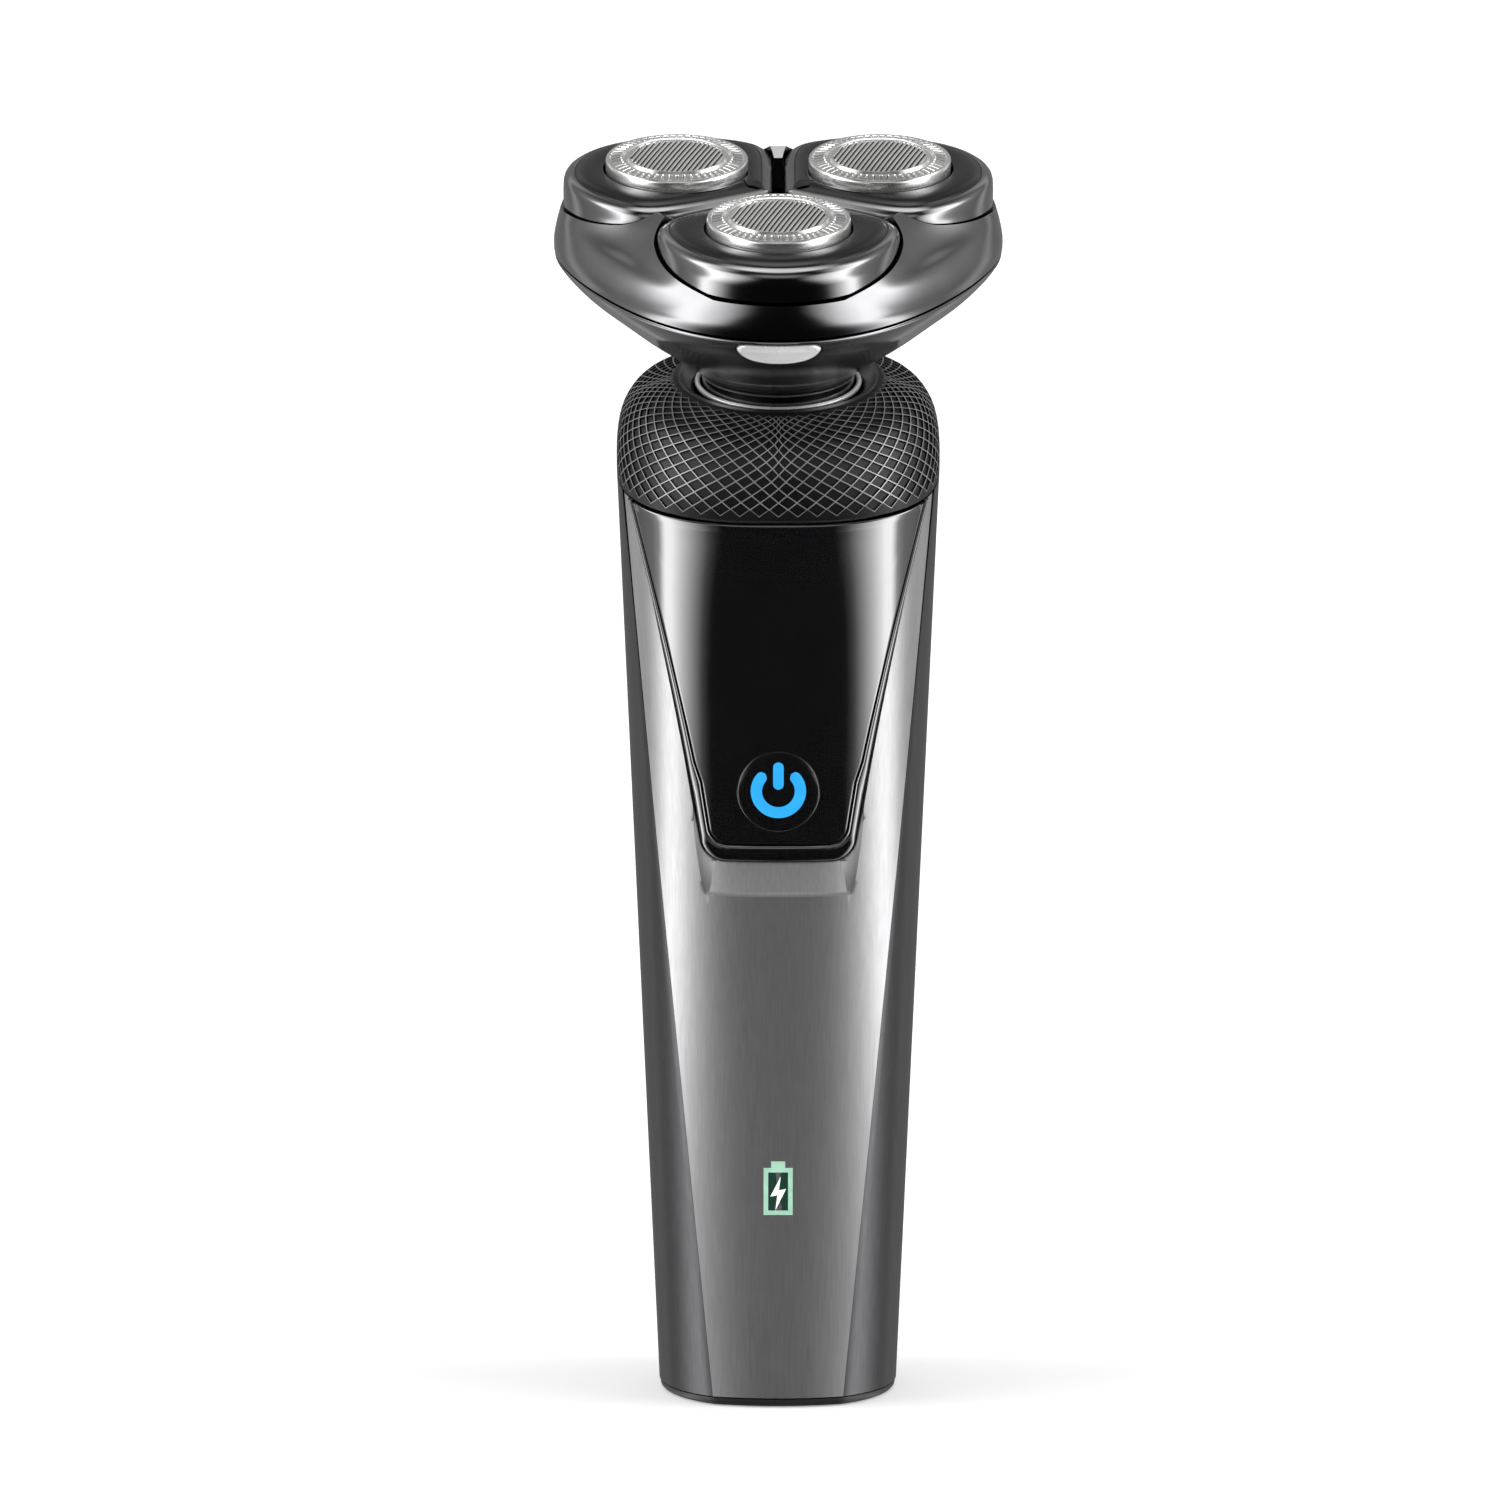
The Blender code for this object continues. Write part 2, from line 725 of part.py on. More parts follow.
def build_power_button(parent, origin):
    button = node("power_button", dished_disc(BUTTON_RADIUS, 0.12, -1.6, BUTTON_Z), "gloss_black", parent,
                  origin)
    stem = cylinder(1.2, (0.0, front_y(0.0, BUTTON_Z) + 1.3, BUTTON_Z),
                    (0.0, front_y(0.0, BUTTON_Z) + 2.3, BUTTON_Z), SMALL_STEPS)
    boolean(button, stem, "UNION", origin)
    for groove in power_symbol(1.0, -0.65, 0.1):
        boolean(button, groove, "DIFFERENCE", origin)
    ring, bar = power_symbol(0.14, -0.6)
    node("power_symbol_ring", ring, "blue_light", parent, origin)
    node("power_symbol_bar", bar, "blue_light", parent, origin)


def build_indicator():
    """Battery symbol let into the front shell: outline, window and bolt."""
    middle = 30.4
    frame = node("charge_indicator", front_plate(lambda z: 1.95, 26.7, 0.0, lambda z: 0.02,
                                                 lambda z: -1.8, columns=2, rows=4, top=33.2), "mint_light")
    nub = front_plate(lambda z: 0.9, 33.0, 0.0, lambda z: 0.02, lambda z: -1.8, columns=2, rows=2, top=34.1)
    boolean(frame, nub, "UNION")
    boolean(frame, front_plate(lambda z: 1.3, 27.4, 0.0, lambda z: 1.0, lambda z: -3.0, columns=2, rows=2,
                               top=32.5))
    node("charge_window", front_plate(lambda z: 1.22, 27.48, 0.0, lambda z: -0.25, lambda z: -1.6,
                                      columns=2, rows=2, top=32.42), "dark_window")
    bolt = [(0.25, middle + 1.9), (-0.8, middle - 0.65), (-0.05, middle - 0.5), (-0.25, middle - 2.4),
            (0.8, middle + 0.2), (0.05, middle + 0.05)]
    rings = [[front_point(x, z, lift) for x, z in bolt] for lift in (0.0, -0.22)]
    node("charge_bolt", loft(rings), "white_light")


def board_y(z):
    """Front face of the leaning circuit board."""
    return -(9.6 + 0.056 * z)


def leaning_box(half, low, high, front, back):
    """Block that leans with the circuit board; front and back are distances from its front face."""
    rings = []
    for z in (low, high):
        y = board_y(z)
        rings.append([(-half, y - front, z), (half, y - front, z), (half, y + back, z), (-half, y + back, z)])
    return loft(rings)


def build_electronics():
    node("circuit_board", leaning_box(7.6, 18.0, 98.0, 0.0, 1.2), "circuit_green")
    switch = node("key_switch", leaning_box(3.0, BUTTON_Z - 3.0, BUTTON_Z + 3.0, 1.6, -0.05), "black_plastic")
    button_back = front_y(0.0, BUTTON_Z) + 2.3
    plunger = cylinder(1.6, (0.0, button_back + 0.5, BUTTON_Z), (0.0, board_y(BUTTON_Z) - 1.0, BUTTON_Z),
                       SMALL_STEPS)
    boolean(switch, plunger, "UNION")
    node("power_light", leaning_box(0.8, BUTTON_Z + 4.0, BUTTON_Z + 5.6, 0.8, -0.05), "white_light")
    node("charge_light", leaning_box(0.8, 29.4, 31.0, 0.8, -0.05), "white_light")


BATTERY_Y = 3.4
BATTERY_LOW = 16.0
BATTERY_HIGH = 66.0


def build_power_supply():
    tray = node("chassis", box((-8.5, -5.6, 10.5), (8.5, -4.2, 100.0)), "frame_grey")
    for low, high in ((12.4, 14.4), (BATTERY_HIGH + 1.6, BATTERY_HIGH + 3.6)):
        boolean(tray, box((-7.0, -4.6, low), (7.0, 9.0, high)), "UNION")
    for z in (24.0, 92.0):
        boolean(tray, box((-5.5, board_y(z) + 1.5, z - 1.5), (5.5, -5.0, z + 1.5)), "UNION")
    cell = [(0.0, BATTERY_HIGH), (2.7, BATTERY_HIGH), (2.7, BATTERY_HIGH - 1.2), (6.6, BATTERY_HIGH - 1.2),
            (7.0, BATTERY_HIGH - 1.7), (7.0, BATTERY_LOW + 0.5), (6.5, BATTERY_LOW), (0.0, BATTERY_LOW)]
    node("battery_cell", turned(cell, center=(0.0, BATTERY_Y)), "battery_wrap")
    contacts = (("battery_contact_low", BATTERY_LOW - 1.0), ("battery_contact_high", BATTERY_HIGH + 0.4))
    for name, low in contacts:
        node(name, box((-3.5, BATTERY_Y - 3.0, low), (3.5, BATTERY_Y + 3.0, low + 0.6)), "nickel")


# ---------------------------------------------------------------- collar, motor and neck

# Outer profile of the collar, from its lower seam up: head-frame height, half width, squareness of the plan
COLLAR_PROFILE = ((-12.35, 21.6, 2.8), (-9.5, 21.6, 2.7), (-7.2, 21.35, 2.55), (-5.2, 20.8, 2.4),
                  (-3.4, 19.8, 2.3), (-2.2, 18.7, 2.2), (-1.3, 17.0, 2.1), (-0.7, 15.2, 2.0),
                  (-0.3, 13.7, 2.0))
COLLAR_LINING = ((-2.3, 13.8, 2.0), (-4.2, 16.6, 2.1), (-8.0, 19.0, 2.5), (-12.35, 19.4, 2.8))


def collar_point(angle, height, half, power, dip=0.0):
    """Point on a rounded-square ring of the collar; the plan is a little deeper than it is wide."""
    side = math.copysign(abs(math.cos(angle)) ** (2 / power), math.cos(angle))
    back = math.copysign(abs(math.sin(angle)) ** (2 / power), math.sin(angle))
    return (side * (half - dip), back * (half * 1.018 - dip), height)


def knurled_collar():
    """Domed collar whose outer face carries a lattice of diamonds, with a smooth inner face."""
    count = 64
    depth = 0.35
    first, second = COLLAR_PROFILE[:2]
    levels = [first, tuple(blend(a, b, 0.5) for a, b in zip(first, second)), *COLLAR_PROFILE[1:]]
    angles = around(count)
    shape = bmesh.new()
    outer = []
    for row, level in enumerate(levels):
        smooth_row = row in (0, len(levels) - 1)
        dips = [0.0 if smooth_row or (row + index) % 2 else depth for index in range(count)]
        outer.append([shape.verts.new(collar_point(angle, *level, dip)) for angle, dip in zip(angles, dips)])
    inner = [[shape.verts.new(collar_point(angle, *level)) for angle in angles] for level in COLLAR_LINING]
    for row, (lower, upper) in enumerate(zip(outer, outer[1:])):
        for index in range(count):
            after = (index + 1) % count
            if (row + index) % 2:
                shape.faces.new((lower[index], lower[after], upper[after]))
                shape.faces.new((lower[index], upper[after], upper[index]))
            else:
                shape.faces.new((lower[index], lower[after], upper[index]))
                shape.faces.new((lower[after], upper[after], upper[index]))
    rest = [outer[-1]] + inner + [outer[0]]
    for lower, upper in zip(rest, rest[1:]):
        for index in range(count):
            after = (index + 1) % count
            shape.faces.new((lower[index], lower[after], upper[after], upper[index]))
    return finish(shape)


MOTOR_TOP = -7.8
MOTOR_LOW = -32.8


def build_motor(static, rotor):
    can = [(2.6, MOTOR_TOP), (9.4, MOTOR_TOP), (10.0, MOTOR_TOP - 0.6), (10.0, MOTOR_LOW + 1.6),
           (8.8, MOTOR_LOW + 1.6), (8.8, MOTOR_TOP - 1.2), (2.6, MOTOR_TOP - 1.2)]
    node("motor_can", turned(can), "nickel", static)
    cap = [(0.0, MOTOR_LOW + 1.3), (10.0, MOTOR_LOW + 1.3), (10.0, MOTOR_LOW), (3.0, MOTOR_LOW),
           (2.6, MOTOR_LOW - 1.4), (0.0, MOTOR_LOW - 1.4)]
    node("motor_end_cap", turned(cap), "black_plastic", static)
    mount = [(2.9, MOTOR_TOP + 1.8), (14.8, MOTOR_TOP + 1.8), (17.6, MOTOR_TOP + 0.2),
             (17.6, MOTOR_TOP - 1.8), (16.0, MOTOR_TOP - 1.8), (14.2, MOTOR_TOP + 0.15),
             (2.9, MOTOR_TOP + 0.15)]
    node("motor_mount", turned(mount), "frame_grey", static)
    armature = [(0.0, MOTOR_TOP - 2.2), (7.6, MOTOR_TOP - 2.2), (7.6, MOTOR_LOW + 3.4),
                (0.0, MOTOR_LOW + 3.4)]
    node("armature", turned(armature), "armature_steel", rotor)
    shaft = [(0.0, -1.9), (1.0, -1.9), (1.0, MOTOR_TOP - 1.9), (0.0, MOTOR_TOP - 1.9)]
    node("motor_shaft", turned(shaft, steps=SMALL_STEPS), "steel", rotor)
    node("ball_coupling", hexed_ball(1.6, -1.6, 1.3), "white_acetal", rotor)


def hexed_ball(radius, low, high):
    """Barrel-shaped driving ball with six sides."""
    rings = []
    for step in range(7):
        height = blend(low, high, step / 6)
        reach = radius * math.sqrt(max(1 - (height / 2.3) ** 2, 0.05))
        rings.append([(reach * math.cos(a), reach * math.sin(a), height) for a in around(6)])
    return loft(rings)


def build_neck(static, gimbal):
    node("collar", knurled_collar(), "grip_black", static, smooth=12.0)
    ring = [(13.5, 0.0), (13.5, -2.0), (12.6, -2.9), (10.6, -2.9), (10.6, -1.9), (12.8, -0.3), (13.1, 0.0)]
    node("neck_ring", turned(ring, steps=HEAD_STEPS), "grey_plastic", static)
    post = [(3.3, 1.4), (4.4, 1.4), (4.4, MOTOR_TOP + 2.6), (7.0, MOTOR_TOP + 2.6), (7.0, MOTOR_TOP + 1.95),
            (3.3, MOTOR_TOP + 1.95)]
    neck_post = node("neck_post", turned(post), "frame_grey", static)
    for side in (-1, 1):
        trunnion = cylinder(0.8, (side * 4.0, 0.0, 0.0), (side * 6.6, 0.0, 0.0), SMALL_STEPS)
        boolean(neck_post, trunnion, "UNION")
    hoop = [(5.0, 1.5), (7.3, 1.5), (7.3, -1.5), (5.0, -1.5)]
    gimbal_ring = node("gimbal_ring", turned(hoop), "nickel", gimbal)
    boolean(gimbal_ring, cylinder(1.05, (-9.0, 0.0, 0.0), (9.0, 0.0, 0.0), SMALL_STEPS))
    for side in (-1, 1):
        trunnion = cylinder(0.8, (0.0, side * 7.0, 0.0), (0.0, side * 9.2, 0.0), SMALL_STEPS)
        boolean(gimbal_ring, trunnion, "UNION")


# ---------------------------------------------------------------- lower head

BUTTON_HALF = 5.5
BUTTON_TOP = 15.75
BUTTON_DROP = 4.0


def half_moon(extra=0.0, count=24):
    """Half-moon in the (x, height) plane: straight top edge, round belly."""
    points = []
    for step in range(count):
        angle = 2 * math.pi * step / count
        x = (BUTTON_HALF + extra) * math.cos(angle)
        rise = math.sin(angle)
        height = 0.7 * (1 - abs(math.cos(angle)) ** 12) if rise > 0 else (BUTTON_DROP - 0.7) * rise
        grow = extra * (1 if rise > 0 else -1) * min(abs(rise) * 2, 1)
        points.append((x, BUTTON_TOP - 0.7 + height + grow))
    return points


def bowl_front_y(x, height):
    """Local Y of the bowl's front surface straight ahead of a point."""
    angle = 0.0
    for _ in range(6):
        angle = math.asin(min(max(x / bowl_radius(angle, height), -1.0), 1.0))
    return -bowl_radius(angle, height) * math.cos(angle)


def release_row(share, lift):
    """Half-moon shrunk to a share of its size and laid a given distance outside the bowl's face."""
    center_height = BUTTON_TOP - 1.7
    row = []
    for x, height in half_moon():
        px = x * share
        ph = center_height + (height - center_height) * share
        row.append((px, bowl_front_y(px, ph) - lift, ph))
    return row


def release_mesh():
    """Half-moon button that follows the bowl's face, in front and behind."""
    levels = ((0.15, -0.8), (0.55, -0.8), (1.0, -0.8), (1.0, 0.25), (0.9, 0.55), (0.6, 0.55), (0.15, 0.55))
    return loft([release_row(share, lift) for share, lift in levels])


def knuckle(low, high, reach, drop):
    """Hinge barrel between two widths, with a web towards the wall."""
    barrel = cylinder(1.3, (low, LID_HINGE[1], LID_HINGE[2]), (high, LID_HINGE[1], LID_HINGE[2]), 16)
    near, far = sorted((LID_HINGE[2] + drop[0], LID_HINGE[2] + drop[1]))
    web = box((low, LID_HINGE[1] - reach, near), (high, LID_HINGE[1] - 0.2, far))
    return barrel, web


def build_bowl(head):
    bowl = node("head_base", bowl_mesh(), "head_metal", head)
    pocket = half_moon(0.3)
    rings = [[(x, y, height) for x, height in pocket] for y in (-34.0, -24.5)]
    boolean(bowl, loft(rings))
    for side in (-1, 1):
        boolean(bowl, cylinder(1.05, (0.0, side * 7.6, 0.0), (0.0, side * 9.45, 0.0), SMALL_STEPS))
    hinge = LID_HINGE[1:]
    boolean(bowl, cylinder(1.6, (-7.2, *hinge), (7.2, *hinge), ROUND_STEPS))
    for low, high in ((-6.8, -3.2), (3.2, 6.8)):
        for mesh in knuckle(low, high, 2.3, (-2.4, -0.5)):
            boolean(bowl, mesh, "UNION")
    boolean(bowl, cylinder(0.8, (-9.0, *hinge), (9.0, *hinge), SMALL_STEPS))
    node("hinge_pin", cylinder(0.6, (-6.7, *hinge), (6.7, *hinge), SMALL_STEPS), "steel", head)


def build_gear_case(head):
    plate_outline = [head_xy(a, 22.2 + 1.2 * corner_wave(a)) for a in around(HEAD_STEPS)]
    cover_outline = [head_xy(a, 25.4 + 1.4 * corner_wave(a)) for a in around(HEAD_STEPS)]
    plate = node("gear_plate", prism(plate_outline, 11.0, 12.4), "frame_grey", head)
    cover = node("gear_cover", prism(cover_outline, 15.4, 16.1), "grey_plastic", head)
    boolean(plate, cylinder(2.0, (0.0, 0.0, 10.0), (0.0, 0.0, 14.0), SMALL_STEPS))
    boolean(cover, box((-7.4, 24.6, 15.0), (7.4, 30.0, 17.0)))
    for degrees in POD_ANGLES:
        x, y = head_xy(math.radians(degrees), AXIS_RADIUS)
        boolean(plate, cylinder(1.6, (x, y, 10.0), (x, y, 14.0), SMALL_STEPS))
        boolean(cover, cylinder(1.7, (x, y, 15.0), (x, y, 18.0), SMALL_STEPS))


def build_gears(sun, driven):
    outline = gear_outline(SUN_TEETH, (0.0, 0.0), 0.0)
    gear = node("sun_gear", prism(outline, GEAR_LOW, GEAR_HIGH), "white_acetal", sun, smooth=20.0)
    cup = [(0.0, GEAR_LOW + 0.4), (1.5, GEAR_LOW + 0.4), (1.5, 3.4), (2.7, 3.0), (2.7, -1.2), (2.05, -1.2),
           (2.05, 2.0), (0.0, 2.0)]
    boolean(gear, turned(cup, steps=SMALL_STEPS), "UNION")
    for index, (degrees, parent) in enumerate(zip(POD_ANGLES, driven), start=1):
        x, y = head_xy(math.radians(degrees), AXIS_RADIUS)
        phase = driven_phase(math.atan2(y, x))
        origin = (x, y, GEAR_LOW)
        mesh = prism(gear_outline(DRIVEN_TEETH, (x, y), phase), GEAR_LOW, GEAR_HIGH)
        wheel = node(f"driven_gear_{index}", mesh, "white_acetal", parent, origin, smooth=20.0)
        spindle = [(0.0, 23.8), (0.9, 23.8), (1.2, 23.4), (1.2, 11.4), (0.0, 11.4)]
        boolean(wheel, turned(spindle, SMALL_STEPS, (x, y)), "UNION", origin)


# ---------------------------------------------------------------- upper head

def build_frame(lid):
    frame = node("cutter_frame", frame_mesh(), "head_metal", lid, LID_HINGE)
    for degrees in POD_ANGLES:
        turn = Matrix.Rotation(math.radians(degrees), 4, "Z")
        outline = inset(pod_outline(), -0.5)
        sinking_side = [(x, max(y, POD_HINGE[1] + 2.5)) for x, y in outline]
        for opening in (prism(outline, 21.2, 30.0), prism(sinking_side, 18.9, 29.0)):
            opening.transform(turn)
            boolean(frame, opening, "DIFFERENCE", LID_HINGE)
    hinge = LID_HINGE[1:]
    boolean(frame, cylinder(1.6, (-7.2, *hinge), (7.2, *hinge), ROUND_STEPS), "DIFFERENCE", LID_HINGE)
    for mesh in knuckle(-2.9, 2.9, 2.3, (0.5, 2.4)):
        boolean(frame, mesh, "UNION", LID_HINGE)
    boolean(frame, cylinder(0.8, (-9.0, *hinge), (9.0, *hinge), SMALL_STEPS), "DIFFERENCE", LID_HINGE)

    outline = [head_xy(a, 23.6 + 3.2 * corner_wave(a)) for a in around(HEAD_STEPS)]
    plate = node("retaining_plate", prism(outline, 18.3, 19.1), "black_plastic", lid, LID_HINGE)
    for degrees in POD_ANGLES:
        x, y = head_xy(math.radians(degrees), AXIS_RADIUS)
        boolean(plate, cylinder(5.2, (x, y, 17.0), (x, y, 21.0), ROUND_STEPS), "DIFFERENCE", LID_HINGE)


def pod_mesh():
    """One pod: side wall, bevelled edge, flat top, and a stepped bore for guard and cutter."""
    rings = []
    for height, shrink in ((21.7, 0.1), (24.6, 0.2), (25.5, 1.0), (26.3, 2.4), (POD_TOP, 2.9)):
        rings.append([(x, y, height) for x, y in pod_outline(shrink)])
    for radius, height in ((9.8, POD_TOP), (9.8, 25.5), (10.7, 25.5), (10.7, 21.7)):
        rings.append([(radius * math.sin(a), -AXIS_RADIUS - radius * math.cos(a), height)
                      for a in around(HEAD_STEPS)])
    return loft(rings, loop=True)


def guard_mesh():
    profile = [(0.0, 28.5), (5.6, 28.4), (6.3, 28.6), (8.9, 28.6), (9.5, 28.2), (9.5, 25.2), (10.4, 25.2),
               (10.4, 24.7), (9.0, 24.7), (9.0, 28.0), (0.0, 27.9)]
    return turned(profile, steps=GUARD_SLITS * 2, center=(0.0, -AXIS_RADIUS))


def build_guard(name, parent):
    guard = node(name, guard_mesh(), "steel", parent, POD_HINGE)
    slits = []
    for step in range(GUARD_SLITS):
        slit = box((-0.2, 6.9, 27.0), (0.2, 10.4, 29.5))
        turn = Matrix.Translation(scaled((0.0, -AXIS_RADIUS, 0.0)))
        slit.transform(turn @ Matrix.Rotation(2 * math.pi * (step + 0.25) / GUARD_SLITS, 4, "Z"))
        slits.append(slit)
    cutter = joined(slits)
    boolean(guard, cutter, "DIFFERENCE", POD_HINGE)


def build_cutter(name, parent):
    """Rotating cutter: hub with a socket for the spindle, disc, and a crown cut into blades."""
    origin = (0.0, -AXIS_RADIUS, 22.2)
    profile = [(0.0, 25.1), (2.0, 25.1), (2.0, 22.2), (3.0, 22.2), (3.0, 25.4), (8.4, 25.4), (8.4, 27.5),
               (6.9, 27.5), (6.9, 26.2), (0.0, 26.2)]
    cutter = node(name, turned(profile, center=(0.0, -AXIS_RADIUS)), "steel", parent, origin)
    for step in range(5):
        slot = box((-1.5, -9.5, 26.3), (1.5, 9.5, 28.0))
        turn = Matrix.Translation(scaled((0.0, -AXIS_RADIUS, 0.0)))
        slot.transform(turn @ Matrix.Rotation(math.pi * step / 5, 4, "Z"))
        boolean(cutter, slot, "DIFFERENCE", origin)


# ---------------------------------------------------------------- assembly

def build():
    static = pivot("neck_frame", (0.0, SEAM_SHIFT, SEAM_HEIGHT), rotation=(LEAN, 0.0, 0.0))
    rotor = pivot("rotor_pivot", parent=static)
    gimbal = pivot("gimbal_pivot", parent=static)
    head = pivot("head_pivot", parent=gimbal)
    lid = pivot("lid_pivot", LID_HINGE, head)
    sun = pivot("sun_pivot", parent=head)
    release = pivot("release_pivot", parent=head)
    button_origin = (0.0, front_y(0.0, BUTTON_Z), BUTTON_Z)
    press = pivot("power_pivot", button_origin)

    build_shells()
    build_base()
    build_socket()
    build_base_screws()
    build_panel()
    build_power_button(press, button_origin)
    build_indicator()
    build_electronics()
    build_power_supply()
    build_motor(static, rotor)
    build_neck(static, gimbal)
    build_bowl(head)
    node("release_button", release_mesh(), "silver_button", release)
    build_gear_case(head)

    driven = []
    for index, degrees in enumerate(POD_ANGLES, start=1):
        x, y = head_xy(math.radians(degrees), AXIS_RADIUS)
        driven.append(pivot(f"gear_pivot_{index}", (x, y, GEAR_LOW), head))
    build_gears(sun, driven)

    build_frame(lid)
    for index, degrees in enumerate(POD_ANGLES, start=1):
        angle = math.radians(degrees)
        place = Matrix.Rotation(angle, 3, "Z") @ Vector(POD_HINGE) - Vector(LID_HINGE)
        pod = pivot(f"pod_pivot_{index}", place, lid, (0.0, 0.0, angle))
        node(f"pod_{index}", pod_mesh(), "head_metal", pod, POD_HINGE)
        build_guard(f"guard_{index}", pod)
        drop = Vector((0.0, -AXIS_RADIUS, 22.2)) - Vector(POD_HINGE)
        spin = pivot(f"cutter_pivot_{index}", drop, pod)
        build_cutter(f"cutter_{index}", spin)


build()
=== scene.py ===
"""Looks of the rotary electric shaver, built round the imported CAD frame.

World frame: origin at the centre of the flat base, +Z up the handle, -Y towards the front.
Head frame: origin at the gimbal centre, leaning forwards; local Z is the head axis and local -Y its front.
Shapes are drawn in millimetres and scaled to metres when a mesh is made.
"""
import bisect
import math

import bmesh
import bpy
from mathutils import Matrix, Vector


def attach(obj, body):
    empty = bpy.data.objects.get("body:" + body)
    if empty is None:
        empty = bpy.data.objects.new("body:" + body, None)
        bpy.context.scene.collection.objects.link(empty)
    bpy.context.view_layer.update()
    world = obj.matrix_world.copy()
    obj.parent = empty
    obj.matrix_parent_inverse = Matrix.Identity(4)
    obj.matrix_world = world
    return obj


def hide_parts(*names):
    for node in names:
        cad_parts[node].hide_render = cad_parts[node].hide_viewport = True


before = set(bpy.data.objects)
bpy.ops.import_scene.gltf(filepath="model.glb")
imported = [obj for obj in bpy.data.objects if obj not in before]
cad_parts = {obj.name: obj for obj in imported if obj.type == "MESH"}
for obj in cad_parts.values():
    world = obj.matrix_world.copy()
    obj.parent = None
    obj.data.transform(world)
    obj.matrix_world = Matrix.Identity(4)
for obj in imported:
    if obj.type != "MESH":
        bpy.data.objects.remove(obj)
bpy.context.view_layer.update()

MM = 0.001

# Handle
SEAM_HEIGHT = 138.6
SEAM_SHIFT = -2.7
LEAN = math.radians(13.0)
COLLAR_SEAM = -12.5
HIGHEST = 120.0
FOOT_TOP = 1.1
SHELL_LOW = 1.3
PANEL_LOW = 75.0
WINDOW_LOW = 77.7
SCOOP_LOW = 70.5
SCOOP_DEPTH = 1.7
BUTTON_Z = 85.0
BUTTON_RADIUS = 5.4
SOCKET_Y = 7.0
SKIN_GAP = 0.15
BED_DEPTH = 2.0
HEM_SCALE = 0.93
ICON_Z = 30.4

# Head
HEAD_SEAM = 16.4
AXIS_RADIUS = 15.6
LID_HINGE = (28.2, HEAD_SEAM)
HINGE_BORE = 0.75
HINGE_RADIUS = 1.3
HINGE_ROOM = 1.6
HINGE_HALF = 7.2
POD_HINGE_Y = -29.0
POD_ANGLES = (0.0, 120.0, 240.0)
HEAD_STEPS = 180
ROUND_STEPS = 96
CYLINDER_STEPS = 48

HEAD_FRAME = Matrix.Translation((0.0, SEAM_SHIFT * MM, SEAM_HEIGHT * MM)) @ Matrix.Rotation(LEAN, 4, "X")


# ---- small sums

def blend(a, b, t):
    return a + (b - a) * t


def clamp(t):
    return min(max(t, 0.0), 1.0)


def smoothstep(t):
    t = clamp(t)
    return t * t * (3 - 2 * t)


def around(count):
    return [2 * math.pi * index / count for index in range(count)]


def spread(low, high, steps):
    return [blend(low, high, step / steps) for step in range(steps + 1)]


def smooth_line(points, per):
    """Catmull-Rom curve through rows of numbers, with per steps between two rows."""
    line = []
    for index in range(len(points) - 1):
        before = points[max(index - 1, 0)]
        start, end = points[index], points[index + 1]
        after = points[min(index + 2, len(points) - 1)]
        for step in range(per):
            t = step / per
            row = []
            for p0, p1, p2, p3 in zip(before, start, end, after):
                row.append(0.5 * (2 * p1 + (p2 - p0) * t + (2 * p0 - 5 * p1 + 4 * p2 - p3) * t ** 2
                                  + (3 * p1 - p0 - 3 * p2 + p3) * t ** 3))
            line.append(tuple(row))
    line.append(tuple(points[-1]))
    return line


def path_lengths(points):
    """Distance along a line at each of its points."""
    lengths = [0.0]
    for start, end in zip(points, points[1:]):
        lengths.append(lengths[-1] + math.dist(start, end))
    return lengths


def row_at(rows, lengths, distance):
    """Row of numbers at a distance along a line whose rows lie at the given lengths."""
    index = max(bisect.bisect_left(lengths, distance, hi=len(lengths) - 1), 1)
    share = (distance - lengths[index - 1]) / (lengths[index] - lengths[index - 1])
    return [blend(a, b, share) for a, b in zip(rows[index - 1], rows[index])]


def rounded_square(angle, power):
    """Direction to a point of a superellipse with unit half axes."""
    across = math.copysign(abs(math.cos(angle)) ** (2 / power), math.cos(angle))
    back = math.copysign(abs(math.sin(angle)) ** (2 / power), math.sin(angle))
    return across, back


# ---- meshes

def finish_mesh(shape):
    """Mesh in metres with its faces turned outwards."""
    bmesh.ops.recalc_face_normals(shape, faces=shape.faces)
    bmesh.ops.scale(shape, vec=(MM, MM, MM), verts=shape.verts)
    mesh = bpy.data.meshes.new("mesh")
    shape.to_mesh(mesh)
    shape.free()
    return mesh


def loft(rings, loop=False, caps=True):
    """Skin equal closed rings; loop joins the last ring to the first."""
    shape = bmesh.new()
    rows = [[shape.verts.new(point) for point in ring] for ring in rings]
    pairs = list(zip(rows, rows[1:]))
    if loop:
        pairs.append((rows[-1], rows[0]))
    count = len(rings[0])
    for lower, upper in pairs:
        for index in range(count):
            after = (index + 1) % count
            shape.faces.new((lower[index], lower[after], upper[after], upper[index]))
    if caps and not loop:
        shape.faces.new(rows[0])
        shape.faces.new(rows[-1])
    return finish_mesh(shape)


def sheet(rows):
    """Open grid of quads."""
    shape = bmesh.new()
    grid = [[shape.verts.new(point) for point in row] for row in rows]
    for lower, upper in zip(grid, grid[1:]):
        for index in range(len(lower) - 1):
            shape.faces.new((lower[index], lower[index + 1], upper[index + 1], upper[index]))
    return finish_mesh(shape)


def circle(radius, height, steps, center_y=0.0):
    return [(radius * math.cos(a), center_y + radius * math.sin(a), height) for a in around(steps)]


